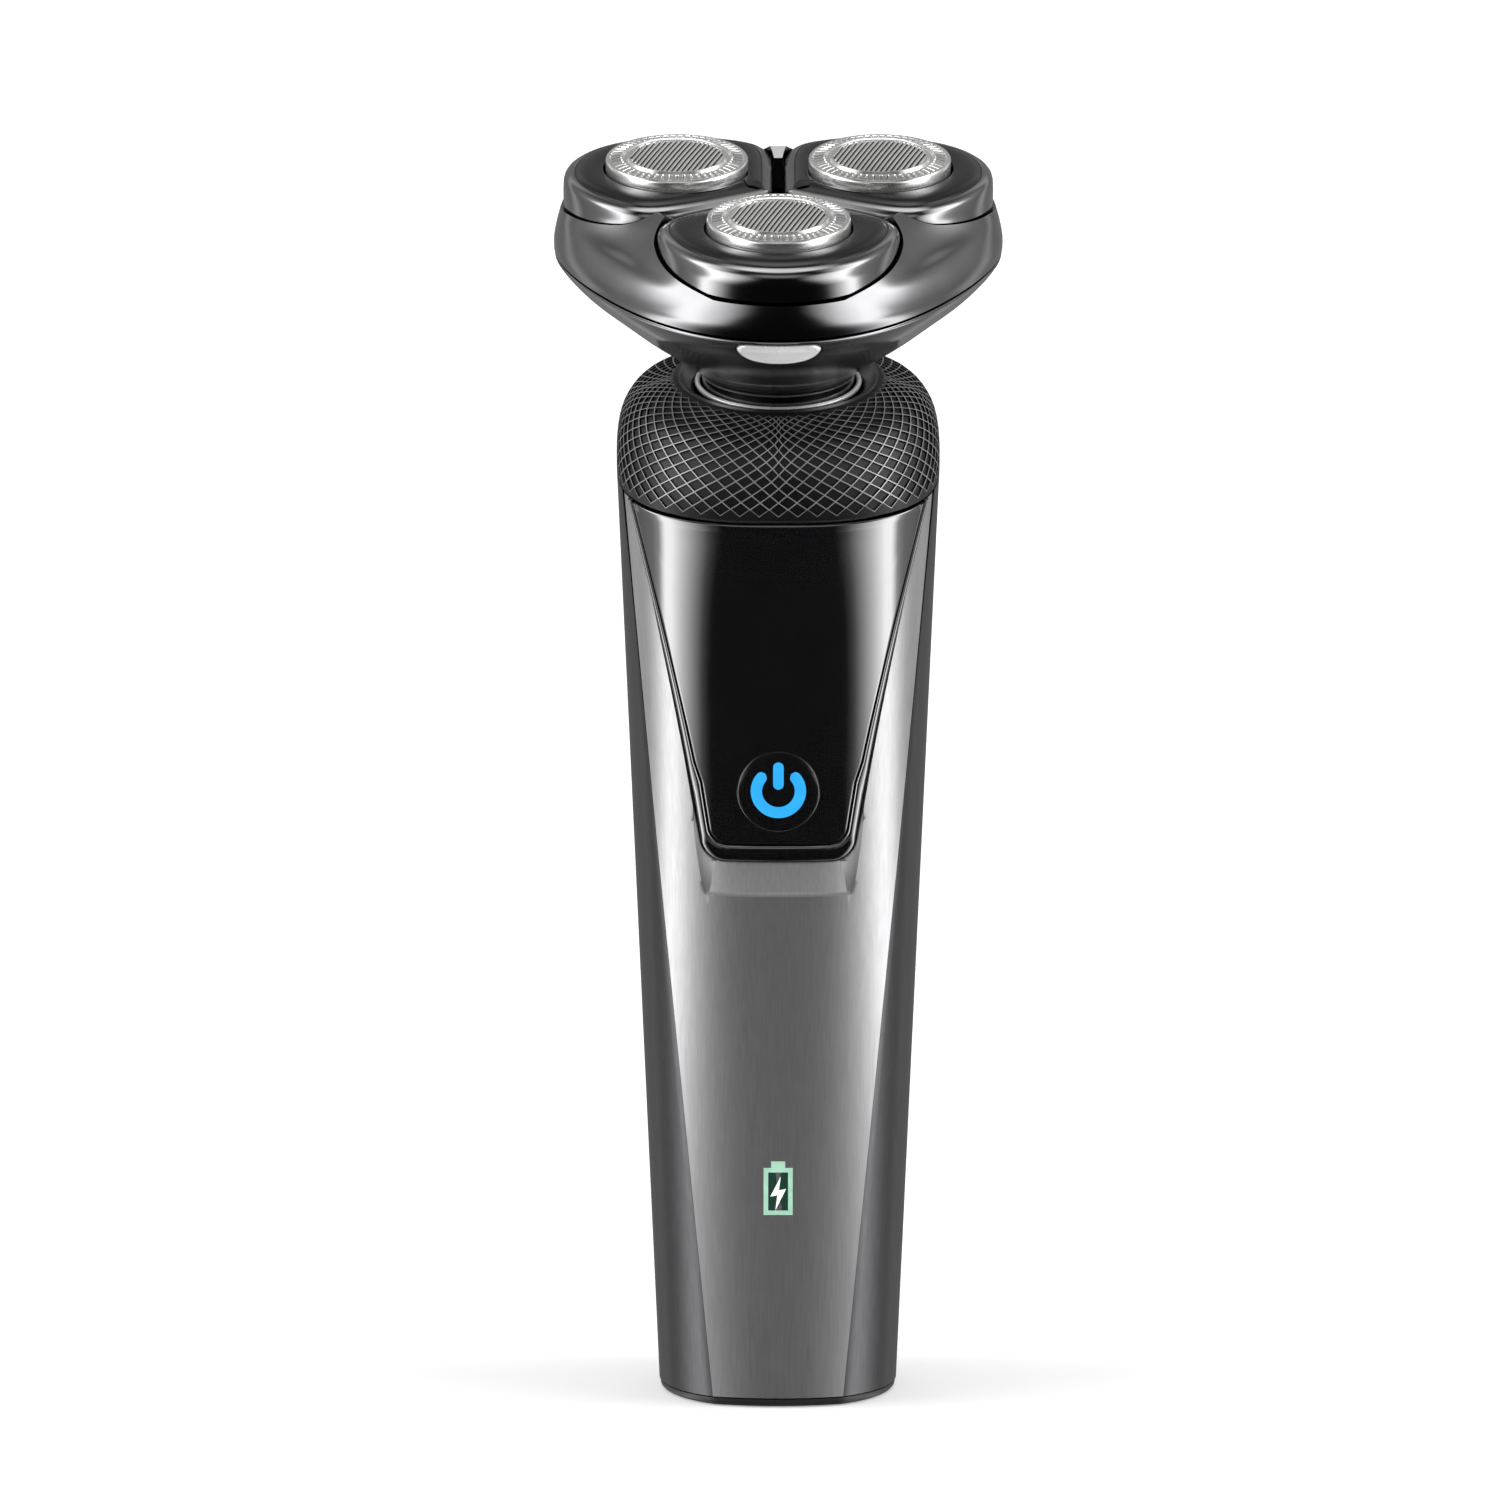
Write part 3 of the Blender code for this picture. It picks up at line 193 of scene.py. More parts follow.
def turned(profile, steps=ROUND_STEPS, center_y=0.0):
    """Solid of revolution from a closed profile, or from one that starts and ends on the axis."""
    on_axis = profile[0][0] == 0.0
    body = profile[1:-1] if on_axis else profile
    return loft([circle(radius, height, steps, center_y) for radius, height in body], loop=not on_axis)


def prism(outline, low, high):
    return loft([[(x, y, low) for x, y in outline], [(x, y, high) for x, y in outline]])


def box(low, high):
    outline = [(low[0], low[1]), (high[0], low[1]), (high[0], high[1]), (low[0], high[1])]
    return prism(outline, low[2], high[2])


def cylinder(radius, start, end, edge=0.0):
    """Cylinder between two points, with a chamfer of the given size."""
    axis = Vector(end) - Vector(start)
    turn = Vector((0.0, 0.0, 1.0)).rotation_difference(axis.normalized()).to_matrix()
    levels = [(radius, edge), (radius, axis.length - edge)]
    if edge:
        levels = [(radius - edge, 0.0), *levels, (radius - edge, axis.length)]
    rings = [circle(reach, height, CYLINDER_STEPS) for reach, height in levels]
    return loft([[turn @ Vector(point) + Vector(start) for point in ring] for ring in rings])


def joined(meshes):
    shape = bmesh.new()
    for mesh in meshes:
        shape.from_mesh(mesh)
        bpy.data.meshes.remove(mesh)
    result = bpy.data.meshes.new("joined")
    shape.to_mesh(result)
    shape.free()
    return result


def scene_object(name, data):
    made = bpy.data.objects.new(name, data)
    bpy.context.scene.collection.objects.link(made)
    return made


def cut(mesh, tools):
    """Mesh with closed tool meshes taken away."""
    target = scene_object("target", mesh)
    helpers = []
    for tool in tools:
        helper = scene_object("tool", tool)
        step = target.modifiers.new("cut", "BOOLEAN")
        step.operation = "DIFFERENCE"
        step.solver = "EXACT"
        step.object = helper
        helpers.append(helper)
    bpy.context.view_layer.update()
    graph = bpy.context.evaluated_depsgraph_get()
    result = bpy.data.meshes.new_from_object(target.evaluated_get(graph))
    for used in [target] + helpers:
        bpy.data.objects.remove(used, do_unlink=True)
    return result


def piece(name, mesh, looks, body, place=Matrix(), replaces=None, smooth=32.0):
    """Mesh as one named piece on a body; the first of its looks is also its slot."""
    looks = looks.split()
    mesh.name = name
    if mesh.materials:
        mesh.materials.clear()
    for look in looks:
        mesh.materials.append(LOOKS[look])
    mesh.transform(place)
    made = scene_object(name, mesh)
    mesh.shade_smooth()
    mesh.set_sharp_from_angle(angle=math.radians(smooth))
    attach(made, body)
    if replaces:
        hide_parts(replaces)


# ---- materials

# Noise mostly lies between these two values
NOISE_RANGE = (0.3, 0.7)


def map_range(tree, source, given, wanted):
    """Linear map of a socket from one range of values to another."""
    node = tree.nodes.new("ShaderNodeMapRange")
    sockets = ("From Min", "From Max", "To Min", "To Max")
    for socket, value in zip(sockets, (*given, *wanted)):
        node.inputs[socket].default_value = value
    tree.links.new(source, node.inputs["Value"])
    return node.outputs["Result"]


class Look:
    """One Principled material with helpers for procedural detail in millimetre-sized patterns."""

    def __init__(self, name, color, metallic=0.0, roughness=0.4, **sockets):
        self.material = bpy.data.materials.new(name + "_look")
        self.material.use_nodes = True
        self.tree = self.material.node_tree
        self.shader = self.tree.nodes["Principled BSDF"]
        self.color = color
        self.set("Base Color", (*color, 1.0))
        self.set("Metallic", metallic)
        self.set("Roughness", roughness)
        for socket, value in sockets.items():
            self.set(socket.replace("_", " "), value)
        self.place = self.tree.nodes.new("ShaderNodeTexCoord")

    def set(self, socket, value):
        self.shader.inputs[socket].default_value = value

    def link(self, output, socket):
        self.tree.links.new(output, socket)

    def noise(self, size, stretch=(1.0, 1.0, 1.0), detail=3.0, seed=0.0):
        """Noise whose features are about size millimetres across, drawn out along the stretched axes."""
        mapping = self.tree.nodes.new("ShaderNodeMapping")
        mapping.inputs["Scale"].default_value = [1 / (size * MM * axis) for axis in stretch]
        mapping.inputs["Location"].default_value = (seed, seed * 0.7, seed * 1.3)
        self.link(self.place.outputs["Object"], mapping.inputs["Vector"])
        texture = self.tree.nodes.new("ShaderNodeTexNoise")
        texture.inputs["Scale"].default_value = 1.0
        texture.inputs["Detail"].default_value = detail
        self.link(mapping.outputs["Vector"], texture.inputs["Vector"])
        return texture.outputs["Fac"]

    def vary_roughness(self, source, low, high):
        self.link(map_range(self.tree, source, NOISE_RANGE, (low, high)), self.shader.inputs["Roughness"])

    def vary_color(self, source, dark, light):
        """Base colour that drifts between two brightness factors."""
        ramp = self.tree.nodes.new("ShaderNodeValToRGB")
        for element, position, factor in zip(ramp.color_ramp.elements, NOISE_RANGE, (dark, light)):
            element.position = position
            element.color = (*[factor * c for c in self.color], 1.0)
        self.link(source, ramp.inputs["Fac"])
        self.link(ramp.outputs["Color"], self.shader.inputs["Base Color"])

    def bump(self, source, height, strength):
        """Relief of a given height in millimetres."""
        node = self.tree.nodes.new("ShaderNodeBump")
        node.inputs["Strength"].default_value = strength
        node.inputs["Distance"].default_value = height * MM
        self.link(source, node.inputs["Height"])
        self.link(node.outputs["Normal"], self.shader.inputs["Normal"])


def brushed(name, color, roughness, streak, metallic=1.0):
    """Satin metal with fine vertical brushing."""
    look = Look(name, color, metallic, roughness)
    lines = look.noise(0.16, (1.0, 1.0, 90.0), 2.0)
    look.vary_roughness(lines, roughness - streak, roughness + streak)
    look.vary_color(look.noise(0.22, (1.0, 1.0, 60.0), 2.0, 3.0), 0.93, 1.07)
    look.bump(lines, 0.003, 0.35)
    return look.material


def polished(name, color, metallic, low, high, **sockets):
    """Glossy surface with a faint drift of its polish."""
    look = Look(name, color, metallic, (low + high) / 2, **sockets)
    look.vary_roughness(look.noise(6.0), low, high)
    look.vary_color(look.noise(9.0, seed=2.0), 0.9, 1.1)
    look.bump(look.noise(2.5, detail=1.0), 0.0015, 0.25)
    return look.material


def moulded(name, color, roughness, grain=0.25, height=0.012):
    """Moulded plastic with a fine spark-eroded grain."""
    look = Look(name, color, 0.0, roughness)
    look.vary_roughness(look.noise(3.0), roughness - 0.06, roughness + 0.06)
    look.vary_color(look.noise(5.0, seed=5.0), 0.9, 1.12)
    look.bump(look.noise(grain, detail=2.0), height, 0.5)
    return look.material


def lit(name, color, strength):
    """Translucent symbol lit from behind, a little brighter in patches."""
    look = Look(name, color, 0.0, 0.35, Emission_Color=(*color, 1.0), Emission_Strength=strength)
    look.vary_color(look.noise(1.4), 0.9, 1.1)
    look.vary_roughness(look.noise(0.8), 0.3, 0.42)
    return look.material


def turned_metal(name, color, roughness):
    """Machined metal with fine random scratches."""
    look = Look(name, color, 1.0, roughness)
    look.vary_roughness(look.noise(0.35, (1.0, 6.0, 1.0)), roughness - 0.07, roughness + 0.08)
    look.vary_color(look.noise(2.0, seed=1.0), 0.9, 1.06)
    look.bump(look.noise(0.18, (1.0, 5.0, 1.0)), 0.004, 0.4)
    return look.material


def board_look():
    """Green lacquered board with darker copper tracks under the lacquer."""
    look = Look("circuit_green", (0.02, 0.16, 0.07), 0.0, 0.3, Coat_Weight=0.4, Coat_Roughness=0.15)
    tracks = look.noise(1.6, (1.0, 1.0, 3.0), 0.0)
    look.vary_color(tracks, 0.6, 1.4)
    look.vary_roughness(tracks, 0.25, 0.38)
    look.bump(tracks, 0.03, 0.5)
    return look.material


LOOKS = {look.name.removesuffix("_look"): look for look in (
    brushed("satin_silver", (0.42, 0.42, 0.425), 0.35, 0.04, 0.82),
    brushed("dark_metal", (0.085, 0.085, 0.088), 0.34, 0.05),
    polished("gloss_black", (0.004, 0.004, 0.0045), 0.0, 0.05, 0.08, IOR=2.6),
    moulded("black_plastic", (0.018, 0.018, 0.019), 0.42),
    moulded("grip_black", (0.004, 0.004, 0.0042), 0.5),
    polished("grip_line", (0.34, 0.34, 0.345), 0.45, 0.32, 0.42),
    polished("head_metal", (0.23, 0.23, 0.234), 1.0, 0.15, 0.2),
    polished("pod_metal", (0.24, 0.24, 0.243), 1.0, 0.12, 0.17),
    polished("pod_top", (0.04, 0.04, 0.041), 0.9, 0.24, 0.3),
    polished("neck_black", (0.010, 0.010, 0.011), 0.0, 0.22, 0.3),
    moulded("grey_plastic", (0.075, 0.075, 0.08), 0.38),
    turned_metal("steel", (0.66, 0.66, 0.65), 0.22),
    polished("foil", (0.86, 0.86, 0.85), 0.9, 0.17, 0.24),
    moulded("foil_shadow", (0.04, 0.04, 0.042), 0.5),
    polished("silver_button", (0.84, 0.84, 0.845), 0.35, 0.24, 0.32),
    lit("blue_light", (0.006, 0.30, 0.70), 0.5),
    lit("mint_light", (0.34, 0.60, 0.45), 0.22),
    lit("white_light", (0.9, 0.95, 0.92), 0.4),
    polished("dark_window", (0.015, 0.05, 0.035), 0.0, 0.1, 0.18),
    board_look(),
    polished("battery_wrap", (0.05, 0.18, 0.42), 0.0, 0.25, 0.4, Coat_Weight=0.5),
    turned_metal("nickel", (0.55, 0.53, 0.48), 0.3),
    moulded("white_acetal", (0.74, 0.73, 0.69), 0.42, 0.4, 0.008),
    moulded("frame_grey", (0.26, 0.26, 0.27), 0.5, 0.3, 0.02),
    turned_metal("armature_steel", (0.12, 0.12, 0.125), 0.42),
)}


def paint_cad_nodes():
    """Give every carried-over CAD node the detailed material of its slot."""
    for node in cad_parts.values():
        for holder in node.material_slots:
            plain = holder.material.name.split(".")[0]
            if plain in LOOKS:
                holder.material = LOOKS[plain]


# ---- handle surface

def half_width(z):
    return blend(16.0, 21.6, z / 126)


def half_depth(z):
    return blend(15.2, 21.5, z / 122)


def ridge_x(z):
    """Half the distance between the two creases beside the front."""
    return blend(8.7, 20.8, z / 124)


def squareness(z):
    """Power of the section's superellipse; 2 is an ellipse."""
    return blend(2.1, 2.8, z / 124)


def side_y(x, z):
    power = squareness(z)
    inside = max(1 - (abs(x) / half_width(z)) ** power, 0.0)
    return half_depth(z) * inside ** (1 / power)


def front_y(x, z):
    """Front surface: nearly flat between the creases at the foot, round at the top."""
    crease = ridge_x(z)
    flatness = 1 - smoothstep(z / 118)
    bulge = blend(1.3, 3.2, z / 124)
    flat = -side_y(crease, z) - bulge * (1 - (x / crease) ** 2)
    return blend(-side_y(x, z), flat, flatness)


def front_point(x, z, lift):
    """Point on the front surface, moved out along its normal."""
    reach = 0.05
    base = Vector((x, front_y(x, z), z))
    across = Vector((2 * reach, front_y(x + reach, z) - front_y(x - reach, z), 0.0))
    along = Vector((0.0, front_y(x, z + reach) - front_y(x, z - reach), 2 * reach))
    return base + across.cross(along).normalized() * lift


def back_angle(z):
    """Parameter of the crease on the rounded-square section."""
    power = squareness(z)
    return math.acos(min((ridge_x(z) / half_width(z)) ** (power / 2), 1.0))


def section_point(angle, z):
    across, back = rounded_square(angle, squareness(z))
    return half_width(z) * across, half_depth(z) * back, z


def back_point(turn, z):
    """Point on the section behind the creases; turn runs from 0 at the right one to 1 at the left."""
    start = back_angle(z)
    return section_point((math.pi + 2 * start) * turn - start, z)


def seam_z(y, drop):
    """Height of the leaning plane where handle and collar meet, or of one a drop below it."""
    flat = SEAM_HEIGHT + COLLAR_SEAM / math.cos(LEAN) - drop
    return flat + math.tan(LEAN) * (y - SEAM_SHIFT)


def settled(low, share, drop, y_at):
    """Height a share of the way from low to the seam, where the depth itself depends on the height."""
    z = blend(low, HIGHEST, share)
    for _ in range(8):
        z = blend(low, seam_z(y_at(z), drop), share)
    return z


def panel_half(z, low, foot, shrink=0.0, corner=2.6):
    """Half width of the panel: it widens a little from its rounded foot, then flares towards the collar."""
    side = blend(foot, 11.9, min((z - low) / 11.0, 1.0))
    flare = max(z - 86.0, 0.0) / 38.0
    side += 8.2 * (0.75 * flare + 0.25 * flare ** 1.5)
    rise = z - low
    if rise < corner:
        side += math.sqrt(max(corner ** 2 - (corner - rise) ** 2, 0.0)) - corner
    return side - shrink


def border_half(z):
    return panel_half(z, PANEL_LOW, 10.0)


def window_half(z):
    return panel_half(z, WINDOW_LOW, 10.4, blend(1.5, 0.5, (z - WINDOW_LOW) / 46.0), 2.0)


# ---- handle shells

def scoop_outer(z):
    return 9.6 + 1.7 * clamp((z - SCOOP_LOW) / 9.5) ** 0.6


def scoop_floor(z):
    return 9.3 - 0.7 * clamp((z - SCOOP_LOW) / 6.0)


def scoop_lift(x, z):
    """Depth of the thumb scoop under the panel, as a negative lift."""
    if z <= SCOOP_LOW:
        return 0.0
    depth = 0.14 * smoothstep((z - SCOOP_LOW) / 0.3) + SCOOP_DEPTH * (z - SCOOP_LOW) / 6.5
    outer = scoop_outer(z)
    share = (outer - abs(x)) / (outer - scoop_floor(z))
    return -depth * clamp(share)


def front_levels():
    """Rows of the front skin: heights first, then on the panel's bed shares of the way to the seam."""
    heights = spread(SHELL_LOW, SCOOP_LOW, 56) + spread(SCOOP_LOW + 0.08, PANEL_LOW - 0.02, 18)
    return [(z, False) for z in heights] + [(share ** 1.3, True) for share in spread(0.0, 1.0, 90)]


def tucked(point, inward, back):
    """Point moved towards the middle plane and to the back."""
    return point + Vector((-math.copysign(inward, point.x), back, 0.0))


def hemmed(row):
    """Row with both ends folded into the wall."""
    return [tucked(row[0], 1.0, 1.2), *row, tucked(row[-1], 1.0, 1.2)]


def skin_widths(z, inner):
    """Places across the front, closest together between the inner and the outer edge of a slope."""
    edge = ridge_x(z) - 0.06
    outer = min(max(scoop_outer(z), inner + 0.2), edge - 0.1)
    inner = min(inner, outer - 0.05)
    half = spread(0.0, inner - 0.01, 20) + spread(inner, outer, 8) + spread(outer, edge, 14)[1:]
    return inner, [-x for x in reversed(half[1:])] + half


def front_row(value, bed):
    """One row of the front skin, from crease to crease."""
    def height(x):
        return settled(PANEL_LOW, value, SKIN_GAP, lambda z: front_y(x, z)) if bed else value

    middle = height(0.0)
    inner = border_half(max(middle, PANEL_LOW)) + 0.1 if bed else scoop_floor(middle)
    inner, widths = skin_widths(middle, inner)
    row = []
    for x in widths:
        z = height(x)
        sunk = bed and abs(x) < inner
        row.append(front_point(x, z, -BED_DEPTH if sunk else scoop_lift(x, z)))
    return hemmed([tucked(row[0], 0.05, 0.12), *row, tucked(row[-1], 0.05, 0.12)])


def front_skin():
    """Silver front: creases at its sides, thumb scoop, and a sunk bed for the panel."""
    rows = [front_row(value, bed) for value, bed in front_levels()]
    low, high = [[point + Vector((0.0, 1.6, 0.0)) for point in rows[end]] for end in (0, -1)]
    mesh = sheet([low, *rows, high])
    piece("front_skin", mesh, "satin_silver", "handle", replaces="front_shell", smooth=28.0)


def rear_skin():
    """Dark sides and back in one wall, from crease to crease."""
    rows = []
    for share in spread(0.0, 1.0, 60):
        row = []
        for turn in spread(0.0, 1.0, 140):
            z = settled(SHELL_LOW, share, SKIN_GAP, lambda z, turn=turn: back_point(turn, z)[1])
            row.append(Vector(back_point(turn, z)))
        rows.append(hemmed([tucked(row[0], 0.03, 0.09), *row[1:-1], tucked(row[-1], 0.03, 0.09)]))
    # The upper hem slants down into the wall, level with the row before the last
    low, high = [[Vector((p.x * HEM_SCALE, p.y * HEM_SCALE, p.z)) for p in rows[end]] for end in (0, -2)]
    mesh = sheet([low, *rows, high])
    piece("rear_skin", mesh, "dark_metal", "handle", replaces="rear_shell", smooth=28.0)


def foot_outline(z, shrink):
    """Closed section at one height: front from crease to crease, then round the back."""
    crease = ridge_x(z)
    points = [(x, front_y(x, z)) for x in spread(-crease, crease, 40)[:-1]]
    points += [back_point(turn, z)[:2] for turn in spread(0.0, 1.0, 120)[:-1]]
    return inset(points, shrink)


def inset(points, distance):
    """Closed outline moved inwards along its normals; a negative distance moves it outwards."""
    count = len(points)
    moved = []
    for index, (x, y) in enumerate(points):
        before = points[index - 1]
        after = points[(index + 1) % count]
        run = (after[0] - before[0], after[1] - before[1])
        length = math.hypot(*run)
        moved.append((x - run[1] / length * distance, y + run[0] / length * distance))
    return moved


# Height and inset of the foot's rounded edge, and of the plug that reaches into the shell
FOOT_EDGE = ((0.0, 1.1), (0.05, 0.75), (0.2, 0.4), (0.45, 0.18), (0.75, 0.1), (FOOT_TOP, 0.08))
FOOT_PLUG = ((FOOT_TOP + 0.05, 0.6), (2.4, 0.8))
TOOL_START = -1.0
SOCKET_HALF = (4.85, 1.95)
SOCKET_TOP = 1.9
SCREW_X = 10.6
SCREW_RADIUS = 1.8
SCREW_TOP = 1.4


def socket_slot():
    """Slot with round ends for the charging socket."""
    width, depth = SOCKET_HALF
    outline = []
    for angle in around(CYLINDER_STEPS):
        x = depth * math.cos(angle) + math.copysign(width - depth, math.cos(angle))
        outline.append((x, depth * math.sin(angle) + SOCKET_Y))
    return prism(outline, TOOL_START, SOCKET_TOP)


def foot_cap():
    """Dark foot with the charging socket and two screw holes in its underside."""
    rings = []
    for section, levels in ((0.0, FOOT_EDGE), (FOOT_TOP, FOOT_PLUG)):
        for height, shrink in levels:
            rings.append([(x, y, height) for x, y in foot_outline(section, shrink)])
    tools = [socket_slot()]
    tools += [cylinder(SCREW_RADIUS, (x, 0.0, TOOL_START), (x, 0.0, SCREW_TOP)) for x in (-SCREW_X, SCREW_X)]
    piece("foot_cap", cut(loft(rings), tools), "black_plastic", "handle", replaces="base_cap")


# ---- panel

def panel_outline(half, low, drop, foot_steps=36):
    """Open line of (x, z) down the left side, along the foot and up the right side."""
    right = []
    for share in spread(0.0, 1.0, 90):
        z = settled(low, share ** 2.0, drop, lambda z: front_y(half(max(z, low)), z))
        right.append((half(max(z, low)), z))
    left = [(-x, z) for x, z in reversed(right)]
    foot = [(x, low) for x in spread(-half(low), half(low), foot_steps)[1:-1]]
    return left + foot + right


def panel_top(half_top, drop):
    """Line of (x, z) along the seam from right to left, without its two ends."""
    line = []
    for x in spread(half_top, -half_top, 40)[1:-1]:
        line.append((x, settled(PANEL_LOW, 1.0, drop, lambda z, x=x: front_y(x, z))))
    return line


# Share of the way from the outer to the inner edge, and lift
BORDER_SECTION = ((0.0, -1.6), (0.0, -0.75), (0.05, -0.42), (0.15, -0.12), (0.3, 0.1), (0.48, 0.24),
                  (0.66, 0.3), (0.8, 0.3), (0.88, 0.26), (0.94, 0.12), (0.97, -0.06), (1.0, -0.3),
                  (1.0, -1.2))


def panel_border():
    """Glossy bead round the window, thickest under its foot."""
    outer = panel_outline(border_half, PANEL_LOW, 0.2)
    inner = panel_outline(lambda z: window_half(z) + 0.1, WINDOW_LOW - 0.1, 0.2)
    rows = []
    for (ox, oz), (ix, iz) in zip(outer, inner):
        sink = blend(0.3, 1.0, clamp(math.hypot(ox - ix, oz - iz) / 2.4))
        row = []
        for share, lift in BORDER_SECTION:
            lift *= 1.0 if lift > 0 else sink
            row.append(front_point(blend(ox, ix, share), blend(oz, iz, share), lift))
        rows.append(row)
    piece("panel_border", sheet(rows), "gloss_black", "handle", replaces="panel_bezel", smooth=50.0)


# Share of the way from the button's hole to the edge, distance kept from each of the two, and lift
GLASS_LEVELS = [(0.0, 0.0, 0.0, -1.2), (0.0, 0.0, 0.0, 0.06), (0.0, 0.03, 0.0, 0.09)]
GLASS_LEVELS += [(share ** 1.2, 0.06, 0.28, 0.1) for share in spread(0.0, 1.0, 40)]
GLASS_LEVELS += [(1.0, 0.0, 0.1, 0.04), (1.0, 0.0, 0.0, -0.1), (1.0, 0.0, 0.0, -1.2)]


def panel_glass():
    """Glossy window with a rounded edge and a round opening for the power button."""
    outline = panel_outline(window_half, WINDOW_LOW, 0.3, 48)
    outline += panel_top(outline[-1][0], 0.3)
    hole = BUTTON_RADIUS + 0.05
    rings = []
    for share, from_hole, from_edge, lift in GLASS_LEVELS:
        ring = []
        for x, z in outline:
            reach = math.hypot(x, z - BUTTON_Z)
            radius = blend(hole + from_hole, reach - from_edge, share)
            ring.append(front_point(x / reach * radius, BUTTON_Z + (z - BUTTON_Z) / reach * radius, lift))
        rings.append(ring)
    mesh = loft(rings, caps=False)
    piece("panel_glass", mesh, "gloss_black", "handle", replaces="panel_window", smooth=60.0)


# Distance from the button's edge, and lift
KEY_LEVELS = ((0.2, -0.9), (0.09, -0.5), (0.04, 0.06), (0.06, 0.09), (0.09, 0.1), (1.2, 0.1), (2.4, 0.1),
              (3.6, 0.1), (4.8, 0.1), (5.3, 0.1))
SYMBOL_RADIUS = 2.92
SYMBOL_OPENING = math.radians(36.0)


def on_button(radius, angle):
    return radius * math.cos(angle), BUTTON_Z + radius * math.sin(angle)


def power_key():
    """Round press button with the power symbol: an open ring and a bar."""
    rings = []
    for distance, lift in KEY_LEVELS:
        ring = [on_button(BUTTON_RADIUS - distance, angle) for angle in around(ROUND_STEPS)]
        rings.append([front_point(x, z, lift) for x, z in ring])
    piece("power_key_cap", loft(rings), "gloss_black", "power_key", replaces="power_button", smooth=60.0)
    first = math.pi / 2 + SYMBOL_OPENING
    last = math.pi / 2 - SYMBOL_OPENING + 2 * math.pi
    arc = [on_button(SYMBOL_RADIUS, angle) for angle in spread(first, last, 72)]
    bar = [(0.0, z) for z in spread(BUTTON_Z + 0.2, BUTTON_Z + 3.95, 24)]
    piece("power_symbol_arc", stroke(arc, 1.5), "blue_light", "power_key", replaces="power_symbol_ring")
    piece("power_symbol_stem", stroke(bar, 1.4), "blue_light", "power_key", replaces="power_symbol_bar")


# Share of the half width, and lift
STROKE_SECTION = ((-1.0, 0.0), (-1.0, 0.105), (-0.8, 0.135), (0.0, 0.145), (0.8, 0.135), (1.0, 0.105),
                  (1.0, 0.0))


def stroke(points, width):
    """Band on the front surface with round ends and a softly crowned top."""
    lengths = path_lengths(points)
    rings = []
    for index, (x, z) in enumerate(points):
        before = points[max(index - 1, 0)]
        after = points[min(index + 1, len(points) - 1)]
        run = (after[0] - before[0], after[1] - before[1])
        length = math.hypot(*run)
        to_end = min(lengths[index], lengths[-1] - lengths[index])
        rounding = clamp(1 - to_end / (width / 2))
        half = max(width / 2 * math.sqrt(1 - rounding ** 2), 0.06)
        ring = []
        for share, lift in STROKE_SECTION:
            reach = half * share / length
            ring.append(front_point(x - run[1] * reach, z + run[0] * reach, lift))
        rings.append(ring)
    return loft(rings)


def plate(outline, lift, base):
    """Flat-topped symbol on the front surface."""
    return loft([[front_point(x, z, height) for x, z in outline] for height in (base, lift)])


def mirrored(right):
    """Closed outline from its right half."""
    return right + [(-x, z) for x, z in reversed(right)]


def charge_icon():
    """Battery symbol: outline with a nub, dark field and a bolt."""
    low, high, tip = ICON_Z - 3.7, ICON_Z + 2.8, ICON_Z + 3.7
    wide, neck, wall = 1.95, 0.95, 0.62
    outer = mirrored([(wide, low), (wide, high), (neck, high), (neck, tip)])
    corners = [(wide - wall, low + wall), (wide - wall, high - wall)]
    inner = mirrored(corners + [(neck - 0.2, high - wall), (neck - 0.4, high - wall)])
    rings = []
    for outline, lift in ((outer, -0.05), (outer, 0.05), (inner, 0.05), (inner, -0.05)):
        rings.append([front_point(x, z, lift) for x, z in outline])
    piece("charge_outline", loft(rings, loop=True), "mint_light", "handle", replaces="charge_indicator")
    field = plate(mirrored(corners), 0.02, -0.2)
    piece("charge_field", field, "dark_window", "handle", replaces="charge_window")
    bolt = [(0.35, 2.0), (-1.05, -0.75), (-0.1, -0.55), (-0.35, -2.6), (1.05, 0.3), (0.1, 0.1)]
    flash = plate([(x, z + ICON_Z - 0.4) for x, z in bolt], 0.07, 0.0)
    piece("charge_flash", flash, "white_light", "handle", replaces="charge_bolt")


# ---- collar and neck

# Height, half width and squareness of the collar's section, from its foot to its top edge
COLLAR_PROFILE = ((-12.35, 21.6, 2.8), (-9.5, 21.6, 2.7), (-7.2, 21.35, 2.55), (-5.2, 20.8, 2.4),
                  (-3.4, 19.8, 2.3), (-2.2, 18.7, 2.2), (-1.3, 17.0, 2.1), (-0.7, 15.2, 2.0),
                  (-0.3, 13.7, 2.0))
COLLAR_DEPTH = 1.018
DIAMONDS = 56
HALF_ROWS = 19
ROW_SHRINK = 0.72 ** 1.6
LINE_HALF = 0.1
DIAMOND_SLOPE = 0.1
DIAMOND_DEPTH = 0.28
LINING_SCALE = 0.94


def collar_point(angle, height, half, power):
    across, back = rounded_square(angle, power)
    return Vector((across * half, back * half * COLLAR_DEPTH, height))


def collar_levels():
    """Rows of the collar: its foot, the rows of the lattice, and its top edge."""
    fine = smooth_line(COLLAR_PROFILE, 12)
    lengths = path_lengths([row[:2] for row in fine])
    start, end = 0.55, lengths[-1] - 0.35
    distances = [0.0]
    for row in range(HALF_ROWS + 1):
        share = (1 - ROW_SHRINK ** (row / HALF_ROWS)) / (1 - ROW_SHRINK)
        distances.append(blend(start, end, share))
    distances.append(lengths[-1])
    bottom, *lattice, top = [row_at(fine, lengths, distance) for distance in distances]
    return bottom, lattice, top


